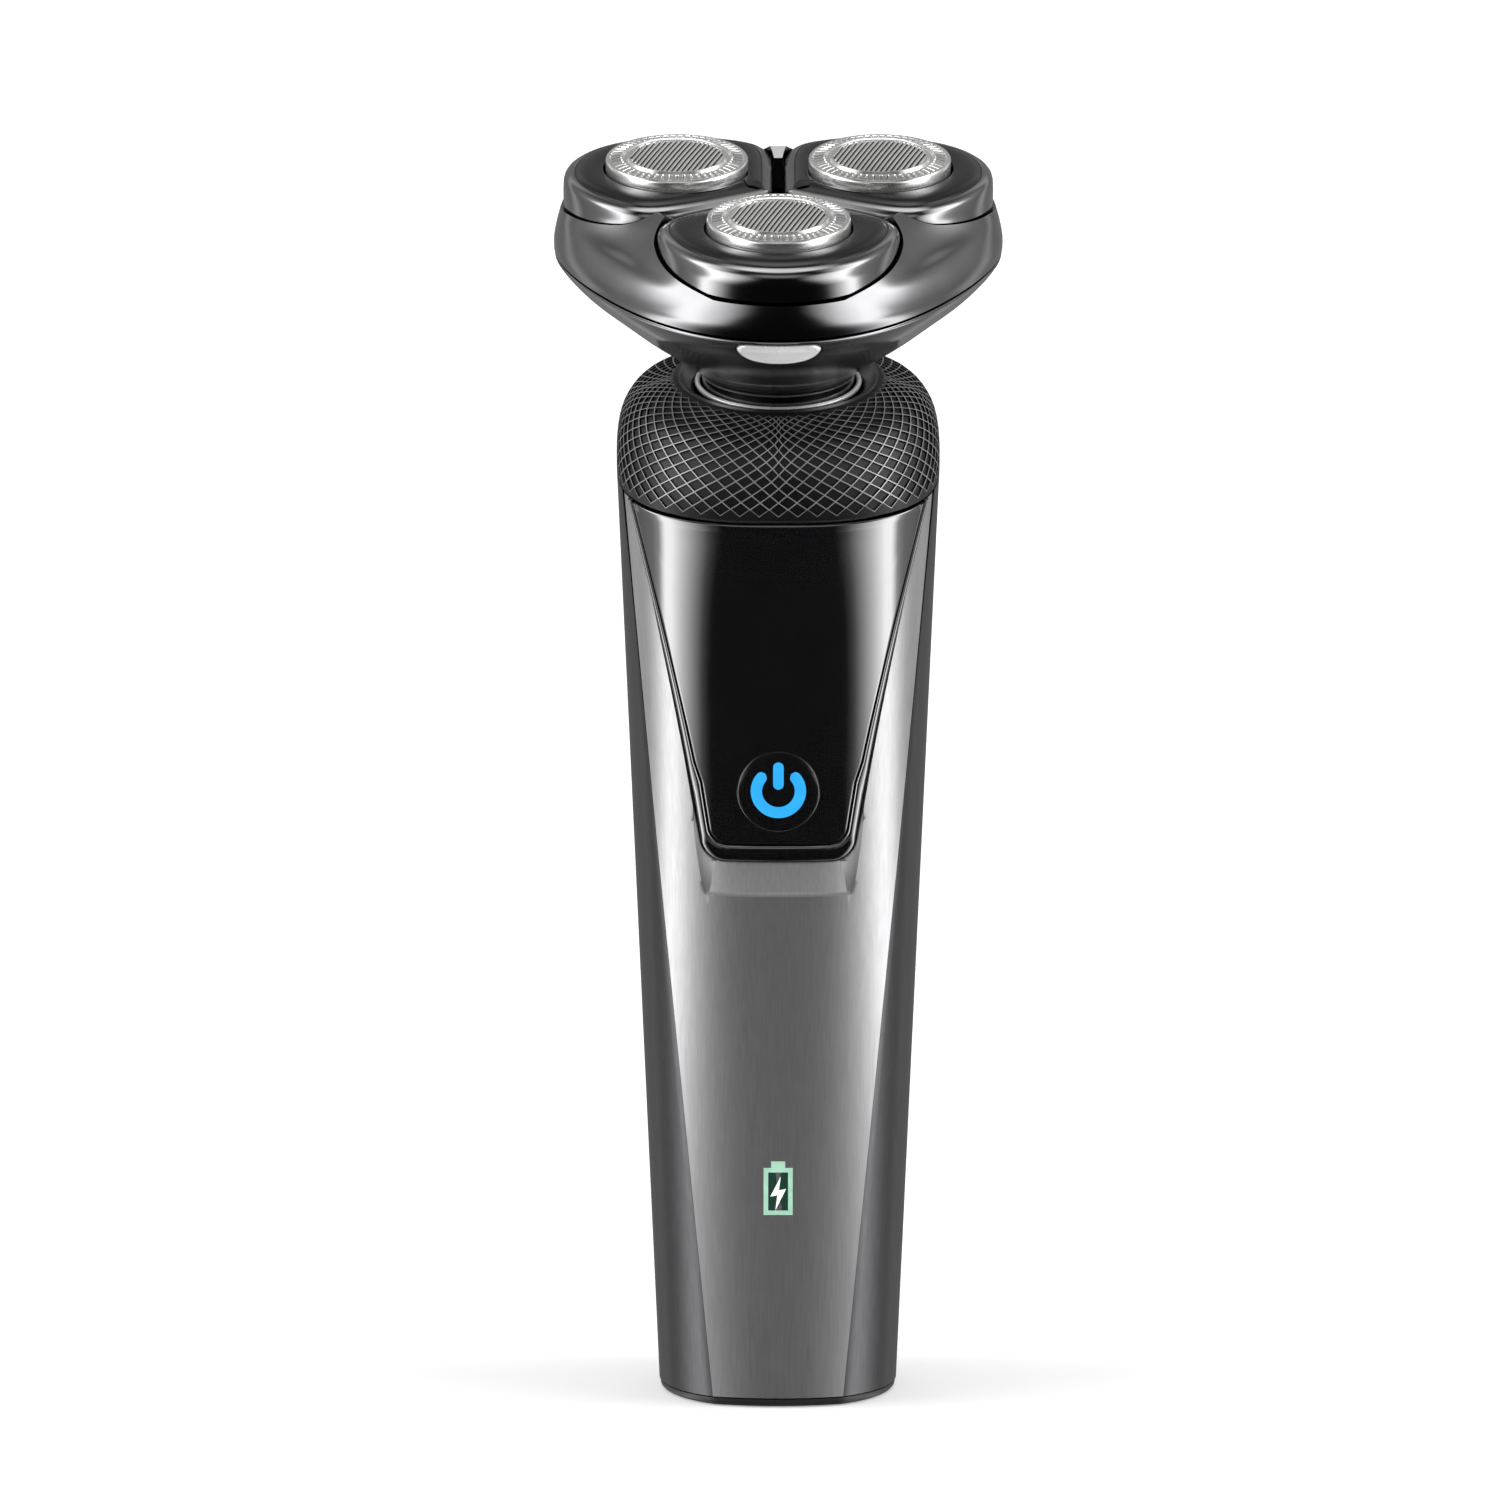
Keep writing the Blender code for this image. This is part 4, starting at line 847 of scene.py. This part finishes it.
def even_turns(level, count):
    """Angles that divide the collar's section into equal lengths, starting at the front."""
    angles = [(angle - math.pi / 2,) for angle in spread(0.0, 2 * math.pi, 720)]
    lengths = path_lengths([collar_point(angle, *level) for angle, in angles])
    return [row_at(angles, lengths, lengths[-1] * step / count)[0] for step in range(count)]


def lattice_edge(shape, line, near, rim, odd):
    """Close one edge of the lattice with half diamonds, a plain rim and a lining behind it."""
    lining = [shape.verts.new((v.co.x * LINING_SCALE, v.co.y * LINING_SCALE, v.co.z)) for v in rim]
    for index in range(DIAMONDS):
        after = (index + 1) % DIAMONDS
        shape.faces.new((line[index], line[after], near[(index + odd) % DIAMONDS]))
        shape.faces.new((line[index], line[after], rim[after], rim[index]))
        shape.faces.new((rim[index], rim[after], lining[after], lining[index]))


def collar_grip():
    """Domed collar with a raised lattice: every diamond between the lines is let in."""
    bottom, levels, top = collar_levels()
    turns = even_turns(bottom, 2 * DIAMONDS)
    shape = bmesh.new()

    def row_of(level, odd):
        return [shape.verts.new(collar_point(turn, *level)) for turn in turns[odd::2]]

    rows = [row_of(level, row % 2) for row, level in enumerate(levels)]
    cells = []
    for row, (low, mid, high) in enumerate(zip(rows, rows[1:], rows[2:])):
        first = 1 - row % 2
        for index in range(DIAMONDS):
            left = mid[index - first]
            right = mid[(index - first + 1) % DIAMONDS]
            cells.append(shape.faces.new((low[index], right, high[index], left)))
    lattice_edge(shape, rows[0], rows[1], row_of(bottom, 0), 0)
    lattice_edge(shape, rows[-1], rows[-2], row_of(top, HALF_ROWS % 2), HALF_ROWS % 2)
    bmesh.ops.recalc_face_normals(shape, faces=shape.faces)
    # The faces an inset adds take the material that its cell has at that moment
    for look, width, depth in ((1, LINE_HALF, 0.0), (0, DIAMOND_SLOPE, DIAMOND_DEPTH)):
        for face in cells:
            face.material_index = look
        bmesh.ops.inset_individual(shape, faces=cells, thickness=width, depth=-depth)
    mesh = finish_mesh(shape)
    piece("collar_grip", mesh, "grip_black grip_line", "handle", HEAD_FRAME, "collar", smooth=25.0)


SEAT_PROFILE = ((13.5, -0.15), (13.42, 0.08), (13.2, 0.1), (13.0, -0.06), (12.9, -0.3), (12.2, -0.75),
                (11.6, -1.15), (11.3, -1.45), (11.2, -1.75), (11.2, -2.9), (12.6, -2.9), (13.5, -2.0))
# Bright bead at the seat's inner edge: a painted highlight on the black ring's lip
HIGHLIGHT_BEAD = (10.8, -0.85)
HIGHLIGHT_BEAD_RADIUS = 0.36


def neck_seat():
    """Black sloped ring round the neck; the bright bead at its inner edge is a painted highlight on the
    ring's lip.
    """
    piece("neck_seat", turned(SEAT_PROFILE, HEAD_STEPS), "neck_black", "handle", HEAD_FRAME, "neck_ring",
          40.0)
    # Silver ring in the button look: a painted highlight along the seat's inner lip
    bead = [(HIGHLIGHT_BEAD[0] + HIGHLIGHT_BEAD_RADIUS * math.cos(a), HIGHLIGHT_BEAD[1] + HIGHLIGHT_BEAD_RADIUS * math.sin(a)) for a in around(14)]
    piece("neck_highlight_bead", turned(bead, HEAD_STEPS), "silver_button", "handle", HEAD_FRAME,
          smooth=60.0)


# ---- lower head

def corner_wave(angle):
    """1 at the pods, -1 between them."""
    return math.cos(3 * angle)


def head_xy(angle, radius):
    return radius * math.sin(angle), -radius * math.cos(angle)


def pod_point(angle, radius, height):
    """Point round the axis of the front pod."""
    x, y = head_xy(angle, radius)
    return x, y - AXIS_RADIUS, height


def head_ring(height, mean, swing):
    """Ring round the head's axis whose radius swings out at the pods and in between them."""
    return [(*head_xy(angle, mean + swing * corner_wave(angle)), height) for angle in around(HEAD_STEPS)]


# Height, mean radius and swing of the bowl's outer face, from the seam down to the neck
BOWL_TABLE = ((16.25, 29.3, 1.9), (14.6, 28.3, 1.8), (12.6, 26.3, 1.6), (10.2, 23.1, 1.2), (7.2, 18.8, 0.5),
              (4.2, 14.1, 0.0), (2.9, 12.4, 0.0), (1.9, 11.3, 0.0), (1.3, 10.6, 0.0))
BOWL_WALL = 1.2


def bowl_radius(angle, height):
    for (high, wide, swing), (low, narrow, calm) in zip(BOWL_TABLE, BOWL_TABLE[1:]):
        if height >= low:
            share = (high - height) / (high - low)
            return blend(wide, narrow, share) + blend(swing, calm, share) * corner_wave(angle)
    return BOWL_TABLE[-1][1]


def bowl_front_y(x, height):
    """Front of the bowl at a place across and a height."""
    angle = 0.0
    for _ in range(6):
        angle = math.asin(clamp(x / bowl_radius(angle, height) * 0.5 + 0.5) * 2 - 1)
    return -bowl_radius(angle, height) * math.cos(angle)


BUTTON_HALF = 5.5
BUTTON_TOP = 15.75
BUTTON_DROP = 4.0
BUTTON_CROWN = 0.7
BUTTON_PLAY = 0.22
# Share of the way from the middle to the outline, and lift over the bowl
RELEASE_SECTION = ((0.1, -0.8), (0.55, -0.8), (1.0, -0.8), (1.0, 0.1), (0.985, 0.35), (0.955, 0.5),
                   (0.91, 0.56), (0.86, 0.5), (0.8, 0.4), (0.65, 0.36), (0.45, 0.38), (0.25, 0.4),
                   (0.08, 0.4))


def half_moon(extra=0.0):
    """Half-moon in the (x, height) plane: straight top edge, round belly."""
    points = []
    for angle in around(72):
        x = (BUTTON_HALF + extra) * math.cos(angle)
        rise = math.sin(angle)
        crown = BUTTON_CROWN * (1 - abs(math.cos(angle)) ** 12)
        height = crown if rise > 0 else (BUTTON_DROP - BUTTON_CROWN) * rise
        grow = extra * (1 if rise > 0 else -1) * min(abs(rise) * 2, 1)
        points.append((x, BUTTON_TOP - BUTTON_CROWN + height + grow))
    return points


def release_key():
    """Half-moon button with a raised rim and a slightly hollow face."""
    middle = BUTTON_TOP - 1.7
    rings = []
    for share, lift in RELEASE_SECTION:
        ring = []
        for x, height in half_moon():
            x *= share
            height = blend(middle, height, share)
            ring.append((x, bowl_front_y(x, height) - lift, height))
        rings.append(ring)
    piece("release_key", loft(rings), "silver_button", "release", HEAD_FRAME, "release_button", smooth=60.0)


def hinge_cylinder(radius, low, high, edge=0.0):
    return cylinder(radius, (low, *LID_HINGE), (high, *LID_HINGE), edge)


def hinge_clearance():
    """Tool that frees the hinge's room in the bowl and in the frame."""
    return hinge_cylinder(HINGE_ROOM, -HINGE_HALF, HINGE_HALF)


def hinge_knuckle(low, high, web_low, web_high):
    """Knuckle on the hinge axis with a web between two heights, measured from the axis."""
    back, axis = LID_HINGE
    web = box((low + 0.1, back - 2.3, axis + web_low), (high - 0.1, back - 0.2, axis + web_high))
    barrel = hinge_cylinder(HINGE_RADIUS, low, high, 0.15)
    return cut(joined([barrel, web]), [hinge_cylinder(HINGE_BORE, low - 1, high + 1)])


# Height, mean radius and swing of the bowl's rounded rim, and of the ball-shaped neck under it
BOWL_RIM = ((16.25, 28.95, 1.9), (16.22, 29.2, 1.9), (16.05, 29.3, 1.9))
NECK_BALL = ((0.6, 10.18, 0.0), (-0.4, 10.19, 0.0), (-1.4, 10.1, 0.0), (-3.4, 9.62, 0.0))
NECK_BORE = 8.2
LINING_HEIGHTS = (5.2, 9.0, 12.4, 14.6, 16.25)


def bowl():
    """Bowl and ball-shaped neck in one wall."""
    profile = [*BOWL_RIM, *smooth_line([(15.9, 29.28, 1.9), *BOWL_TABLE[1:], *NECK_BALL], 7)]
    rings = [head_ring(*row) for row in profile]
    rings += [head_ring(height, NECK_BORE, 0.0) for height in (-3.4, 3.4)]
    for height in LINING_HEIGHTS:
        rings.append([(*head_xy(a, bowl_radius(a, height) - BOWL_WALL), height) for a in around(HEAD_STEPS)])
    moon = [[(x, y, height) for x, height in half_moon(BUTTON_PLAY)] for y in (-34.0, -24.5)]
    mesh = cut(loft(rings, loop=True), [loft(moon), hinge_clearance()])
    piece("head_bowl", mesh, "head_metal", "head", HEAD_FRAME, "head_base", smooth=38.0)
    knuckles = [hinge_knuckle(low, high, -2.4, -0.5) for low, high in ((-6.8, -3.2), (3.2, 6.8))]
    piece("bowl_knuckles", joined(knuckles), "head_metal", "head", HEAD_FRAME)


# ---- upper head

POD_HALF = (18.5, 16.2)
POD_MIDDLE = 12.5
POD_SECTOR = math.radians(60.0)
POD_GAP = 0.5
CORNER_SOFTNESS = 9.0


def ellipse_reach(angle):
    """Distance from the pod's axis to an ellipse whose middle lies nearer the head's axis."""
    across, deep = POD_HALF
    offset = (POD_MIDDLE - AXIS_RADIUS) / across
    cosine = math.cos(angle) / across
    sine = math.sin(angle) / deep
    a = cosine ** 2 + sine ** 2
    b = -2 * cosine * offset
    c = offset ** 2 - 1
    return (-b + math.sqrt(b * b - 4 * a * c)) / (2 * a)


def sector_reach(angle):
    """Distance from the pod's axis to the gap beside the next pod."""
    reach = math.inf
    for side in (1, -1):
        toward = math.cos(angle - side * (math.pi / 2 + POD_SECTOR))
        if toward > 1e-6:
            reach = min(reach, (AXIS_RADIUS * math.sin(POD_SECTOR) - POD_GAP) / toward)
    return reach


def pod_outline(shrink):
    """Outline of the front pod in the head frame."""
    points = []
    for angle in around(HEAD_STEPS):
        limits = (ellipse_reach(angle), sector_reach(angle))
        reach = sum(limit ** -CORNER_SOFTNESS for limit in limits) ** (-1 / CORNER_SOFTNESS) * 1.004
        points.append(pod_point(angle, min(reach, *limits), 0.0)[:2])
    return inset(points, shrink)


# Radius and height of the frame's outer face at the pods and between them, from the seam upwards
AT_POD = ((31.3, 16.55), (31.3, 18.2), (31.1, 20.3), (30.6, 22.6), (29.6, 25.0), (24.0, 27.2))
BETWEEN = ((27.5, 16.55), (27.35, 18.4), (25.6, 20.7), (23.2, 22.0), (20.4, 24.3), (18.0, 26.0))
FRAME_RIM = ((31.0, 16.56, 27.2, 16.56), (31.2, 16.62, 27.42, 16.62))
# Height, mean radius and swing of its inner face, from the top down
FRAME_LINING = ((25.0, 19.0, 3.0), (20.2, 22.2, 4.8), (18.6, 26.5, 2.9), (16.55, 27.7, 1.9))


def frame_rings():
    outer = smooth_line([a + b for a, b in zip(AT_POD, BETWEEN)], 8)
    rings = []
    for pod_radius, pod_height, rib_radius, rib_height in (*FRAME_RIM, *outer[1:]):
        ring = []
        for angle in around(HEAD_STEPS):
            share = (1 + corner_wave(angle)) / 2
            ring.append((*head_xy(angle, blend(rib_radius, pod_radius, share)),
                         blend(rib_height, pod_height, share)))
        rings.append(ring)
    return rings + [head_ring(*row) for row in FRAME_LINING]


def upper_frame():
    """Frame that carries the pods: flowing outer face with ribs that rise between the pods."""
    opening = pod_outline(-0.3)
    # A little smaller, so that no two tool walls lie on each other
    sinking = [(x, max(y, POD_HINGE_Y + 2.5)) for x, y in pod_outline(-0.27)]
    tools = [hinge_clearance()]
    for outline, low, high in ((opening, 21.2, 30.0), (sinking, 18.9, 29.0)):
        for degrees in POD_ANGLES:
            tools.append(prism(outline, low, high))
            tools[-1].transform(Matrix.Rotation(math.radians(degrees), 4, "Z"))
    mesh = cut(loft(frame_rings(), loop=True), tools)
    piece("upper_frame", mesh, "head_metal", "upper_head", HEAD_FRAME, "cutter_frame")
    piece("frame_knuckle", hinge_knuckle(-2.9, 2.9, 0.5, 2.4), "head_metal", "upper_head", HEAD_FRAME)


# Height and inset of the pod's outer face, from its skirt up over the bevel to the flat top
POD_PROFILE = ((21.7, 0.12), (23.6, 0.12), (24.7, 0.16), (25.2, 0.3), (25.55, 0.55), (25.82, 0.95),
               (25.98, 1.35), (26.02, 1.5), (25.94, 1.6), (25.94, 1.75), (26.06, 1.85), (26.3, 2.3),
               (26.48, 2.9), (26.55, 3.5))
# Row of the profile where the flat top begins
TOP_RING = 8
# Radius and height of the bore round the guard, from the top down
POD_BORE = ((10.15, 26.58), (9.85, 26.5), (9.75, 26.2), (9.75, 25.5), (10.7, 25.5), (10.7, 21.7))


def pod_mesh():
    """Pod with a polished side and bevel, and a flat top in a darker finish."""
    rings = [[(x, y, height) for x, y in pod_outline(shrink)] for height, shrink in POD_PROFILE]
    rings += [[pod_point(a, radius, height) for a in around(HEAD_STEPS)] for radius, height in POD_BORE]
    mesh = loft(rings, loop=True)
    for face in mesh.polygons:
        ring = face.index // HEAD_STEPS
        face.material_index = 1 if TOP_RING <= ring <= len(POD_PROFILE) else 0
    return mesh


# Radius and height: up the wall, over the slit ring to the inner ring, and back below it
GUARD_PROFILE = ((9.45, 25.3), (9.5, 25.6), (9.5, 27.62), (9.46, 27.82), (9.34, 27.96), (9.14, 28.0),
                 (8.94, 27.96), (8.84, 27.9), (8.5, 27.98), (8.0, 28.08), (7.5, 28.14), (7.36, 28.14),
                 (7.2, 28.04), (7.0, 27.86), (6.8, 27.86), (6.66, 28.08), (6.5, 28.24), (6.24, 28.24),
                 (6.16, 28.1), (6.16, 27.6), (8.9, 27.3), (8.9, 25.3))
# Rows of the profile that the slits cut into
SLIT_ROWS = range(7, 11)
SLIT_DEPTH = 0.5
SLITS = 54
STEPS_PER_SLIT = 6
SLIT_STEPS = 2


def guard_ring_mesh():
    """Guard: bright wall, and a top ring cut into fine teeth by radial slits."""
    rings = []
    for row, (radius, height) in enumerate(GUARD_PROFILE):
        ring = []
        for index, angle in enumerate(around(SLITS * STEPS_PER_SLIT)):
            in_slit = row in SLIT_ROWS and index % STEPS_PER_SLIT < SLIT_STEPS
            ring.append(pod_point(angle, radius, height - SLIT_DEPTH if in_slit else height))
        rings.append(ring)
    return loft(rings, loop=True)


HATCH_PITCH = 0.66
HATCH_REACH = 6.2
HATCH_LEAN = 74.0
HATCH_DOME = 0.12
# Place across a bar, and height
BAR_SECTION = ((-0.19, 27.95), (-0.19, 28.16), (-0.1, 28.26), (0.1, 28.26), (0.19, 28.16), (0.19, 27.95))
# Radius and height of a dark disc under the bars: painted shade seen through the gaps between them
GUARD_SHADE_BED = ((0.0, 28.0), (2.0, 28.0), (6.3, 27.9), (6.3, 27.75), (0.0, 27.75))


def hatch_mesh(turn):
    """Fine parallel bars across the guard's centre."""
    bars = []
    count = int(HATCH_REACH / HATCH_PITCH)
    for index in range(-count, count + 1):
        offset = index * HATCH_PITCH
        half = math.sqrt(HATCH_REACH ** 2 - offset ** 2)
        rings = []
        for x in spread(-half, half, 10):
            dome = HATCH_DOME * (1 - (x ** 2 + offset ** 2) / HATCH_REACH ** 2)
            ring = []
            for across, height in BAR_SECTION:
                y = offset + across
                ring.append((x * math.cos(turn) - y * math.sin(turn),
                             x * math.sin(turn) + y * math.cos(turn) - AXIS_RADIUS, height + dome))
            rings.append(ring)
        bars.append(loft(rings))
    return joined(bars)


def pods():
    """Three pods, each with its guard; the bars of all guards run the same way."""
    for index, degrees in enumerate(POD_ANGLES, start=1):
        place = HEAD_FRAME @ Matrix.Rotation(math.radians(degrees), 4, "Z")
        body = f"pod_{index}"
        piece(f"pod_shell_{index}", pod_mesh(), "pod_metal pod_top", body, place, body, 50.0)
        piece(f"guard_ring_{index}", guard_ring_mesh(), "foil", body, place, f"guard_{index}", 30.0)
        hatch = hatch_mesh(math.radians(HATCH_LEAN - degrees))
        piece(f"guard_hatch_{index}", hatch, "foil", body, place)
        # Dark disc in the foil_shadow look: painted shade under the bars
        bed = turned(GUARD_SHADE_BED, center_y=-AXIS_RADIUS)
        piece(f"guard_shade_bed_{index}", bed, "foil_shadow", body, place)


# ---- stage

def sums(tree, operation, first, second=None, third=None):
    """One Math node; its inputs are sockets or numbers."""
    node = tree.nodes.new("ShaderNodeMath")
    node.operation = operation
    for slot, value in zip(node.inputs, (first, second, third)):
        if isinstance(value, (int, float)):
            slot.default_value = value
        elif value is not None:
            tree.links.new(value, slot)
    return node.outputs["Value"]


def curve(tree, source, points):
    """Piecewise linear function of a socket, through points given as (input, output)."""
    total = None
    for (x0, y0), (x1, y1) in zip(points, points[1:]):
        wanted = (0.0, y1 - y0) if total else (y0, y1)
        stretch = map_range(tree, source, (x0, x1), wanted)
        total = sums(tree, "ADD", total, stretch) if total else stretch
    return total


# Brightness of the studio by degrees away from the front, and by degrees above the horizon
ROUND_LIGHT = ((0, 0.01), (18, 0.012), (25, 0.22), (34, 1.0), (44, 2.0), (54, 3.2), (63, 4.4), (72, 4.4),
               (82, 1.1), (92, 0.6), (118, 0.35), (128, 0.9), (138, 0.35), (180, 0.22))
HIGH_LIGHT = ((-60, 0.15), (-35, 0.75), (-15, 1.0), (40, 1.0), (58, 0.35), (70, 0.2))
OVERHEAD = ((64, 0.0), (76, 2.4))
FRONT_FILL = ((2, 0.0), (22, 0.75), (45, 0.1))
# Degrees by which the dark front is wider far below and far above the horizon
WIDER_DARK = ((-30, 44.0), (-14, 0.0), (10, 0.0), (30, 24.0))


def studio():
    """Tent of soft light: dark in front, bright bands at both sides, one soft box overhead."""
    world = bpy.data.worlds.new("studio")
    bpy.context.scene.world = world
    world.use_nodes = True
    tree = world.node_tree
    shade = tree.nodes["Background"]
    place = tree.nodes.new("ShaderNodeTexCoord")
    parts = tree.nodes.new("ShaderNodeSeparateXYZ")
    tree.links.new(place.outputs["Generated"], parts.inputs["Vector"])
    ahead = sums(tree, "MULTIPLY", parts.outputs["Y"], -1.0)
    turn = sums(tree, "ABSOLUTE", sums(tree, "ARCTAN2", parts.outputs["X"], ahead))
    turn = sums(tree, "MULTIPLY", turn, 180 / math.pi)
    rise = sums(tree, "MULTIPLY", sums(tree, "ARCSINE", parts.outputs["Z"]), 180 / math.pi)
    side = sums(tree, "SUBTRACT", turn, curve(tree, rise, WIDER_DARK))
    light = sums(tree, "MULTIPLY", curve(tree, side, ROUND_LIGHT), curve(tree, rise, HIGH_LIGHT))
    light = sums(tree, "ADD", light, curve(tree, rise, OVERHEAD))
    near_front = curve(tree, turn, ((15, 1.0), (40, 0.0)))
    light = sums(tree, "MULTIPLY_ADD", curve(tree, rise, FRONT_FILL), near_front, light)
    seen = tree.nodes.new("ShaderNodeLightPath")
    light = sums(tree, "MAXIMUM", light, seen.outputs["Is Camera Ray"])
    tree.links.new(light, shade.inputs["Strength"])
    shade.inputs["Color"].default_value = (1.0, 1.0, 1.0, 1.0)


FLOOR_RADIUS = 9000.0
FLOOR_HEIGHTS = (-20.0, -0.02)


def floor():
    """White ground just under the foot, which reflections do not show."""
    mesh = loft([circle(FLOOR_RADIUS, height, ROUND_STEPS) for height in FLOOR_HEIGHTS])
    ground = scene_object("floor", mesh)
    look = Look("floor", (0.9, 0.9, 0.9), roughness=0.9, Emission_Color=(1.0, 1.0, 1.0, 1.0),
                Emission_Strength=0.3)
    mesh.materials.append(look.material)
    ground.visible_glossy = False


AIM = Vector((0.0, 0.0, 85.0))
DISTANCE = 1500.0
RISE = math.radians(9.66)
LENS = 267.6
SENSOR = 36.0
SLIDE = (-3.77, 2.31)


def camera():
    """Camera in front of the object and a little above it."""
    data = bpy.data.cameras.new("camera")
    eye = scene_object("camera", data)
    back = Vector((0.0, -math.cos(RISE), math.sin(RISE)))
    up = Vector((0.0, math.sin(RISE), math.cos(RISE)))
    right = Vector((1.0, 0.0, 0.0))
    eye.location = (AIM + back * DISTANCE + right * SLIDE[0] + up * SLIDE[1]) * MM
    eye.rotation_euler = (math.pi / 2 - RISE, 0.0, 0.0)
    data.lens = LENS
    data.sensor_width = SENSOR
    data.clip_start = 0.05
    data.clip_end = 50.0
    bpy.context.scene.camera = eye


def build():
    paint_cad_nodes()
    front_skin()
    rear_skin()
    foot_cap()
    panel_border()
    panel_glass()
    power_key()
    charge_icon()
    collar_grip()
    neck_seat()
    release_key()
    bowl()
    upper_frame()
    pods()
    studio()
    floor()
    camera()
    bpy.context.scene.view_settings.view_transform = "Standard"


build()
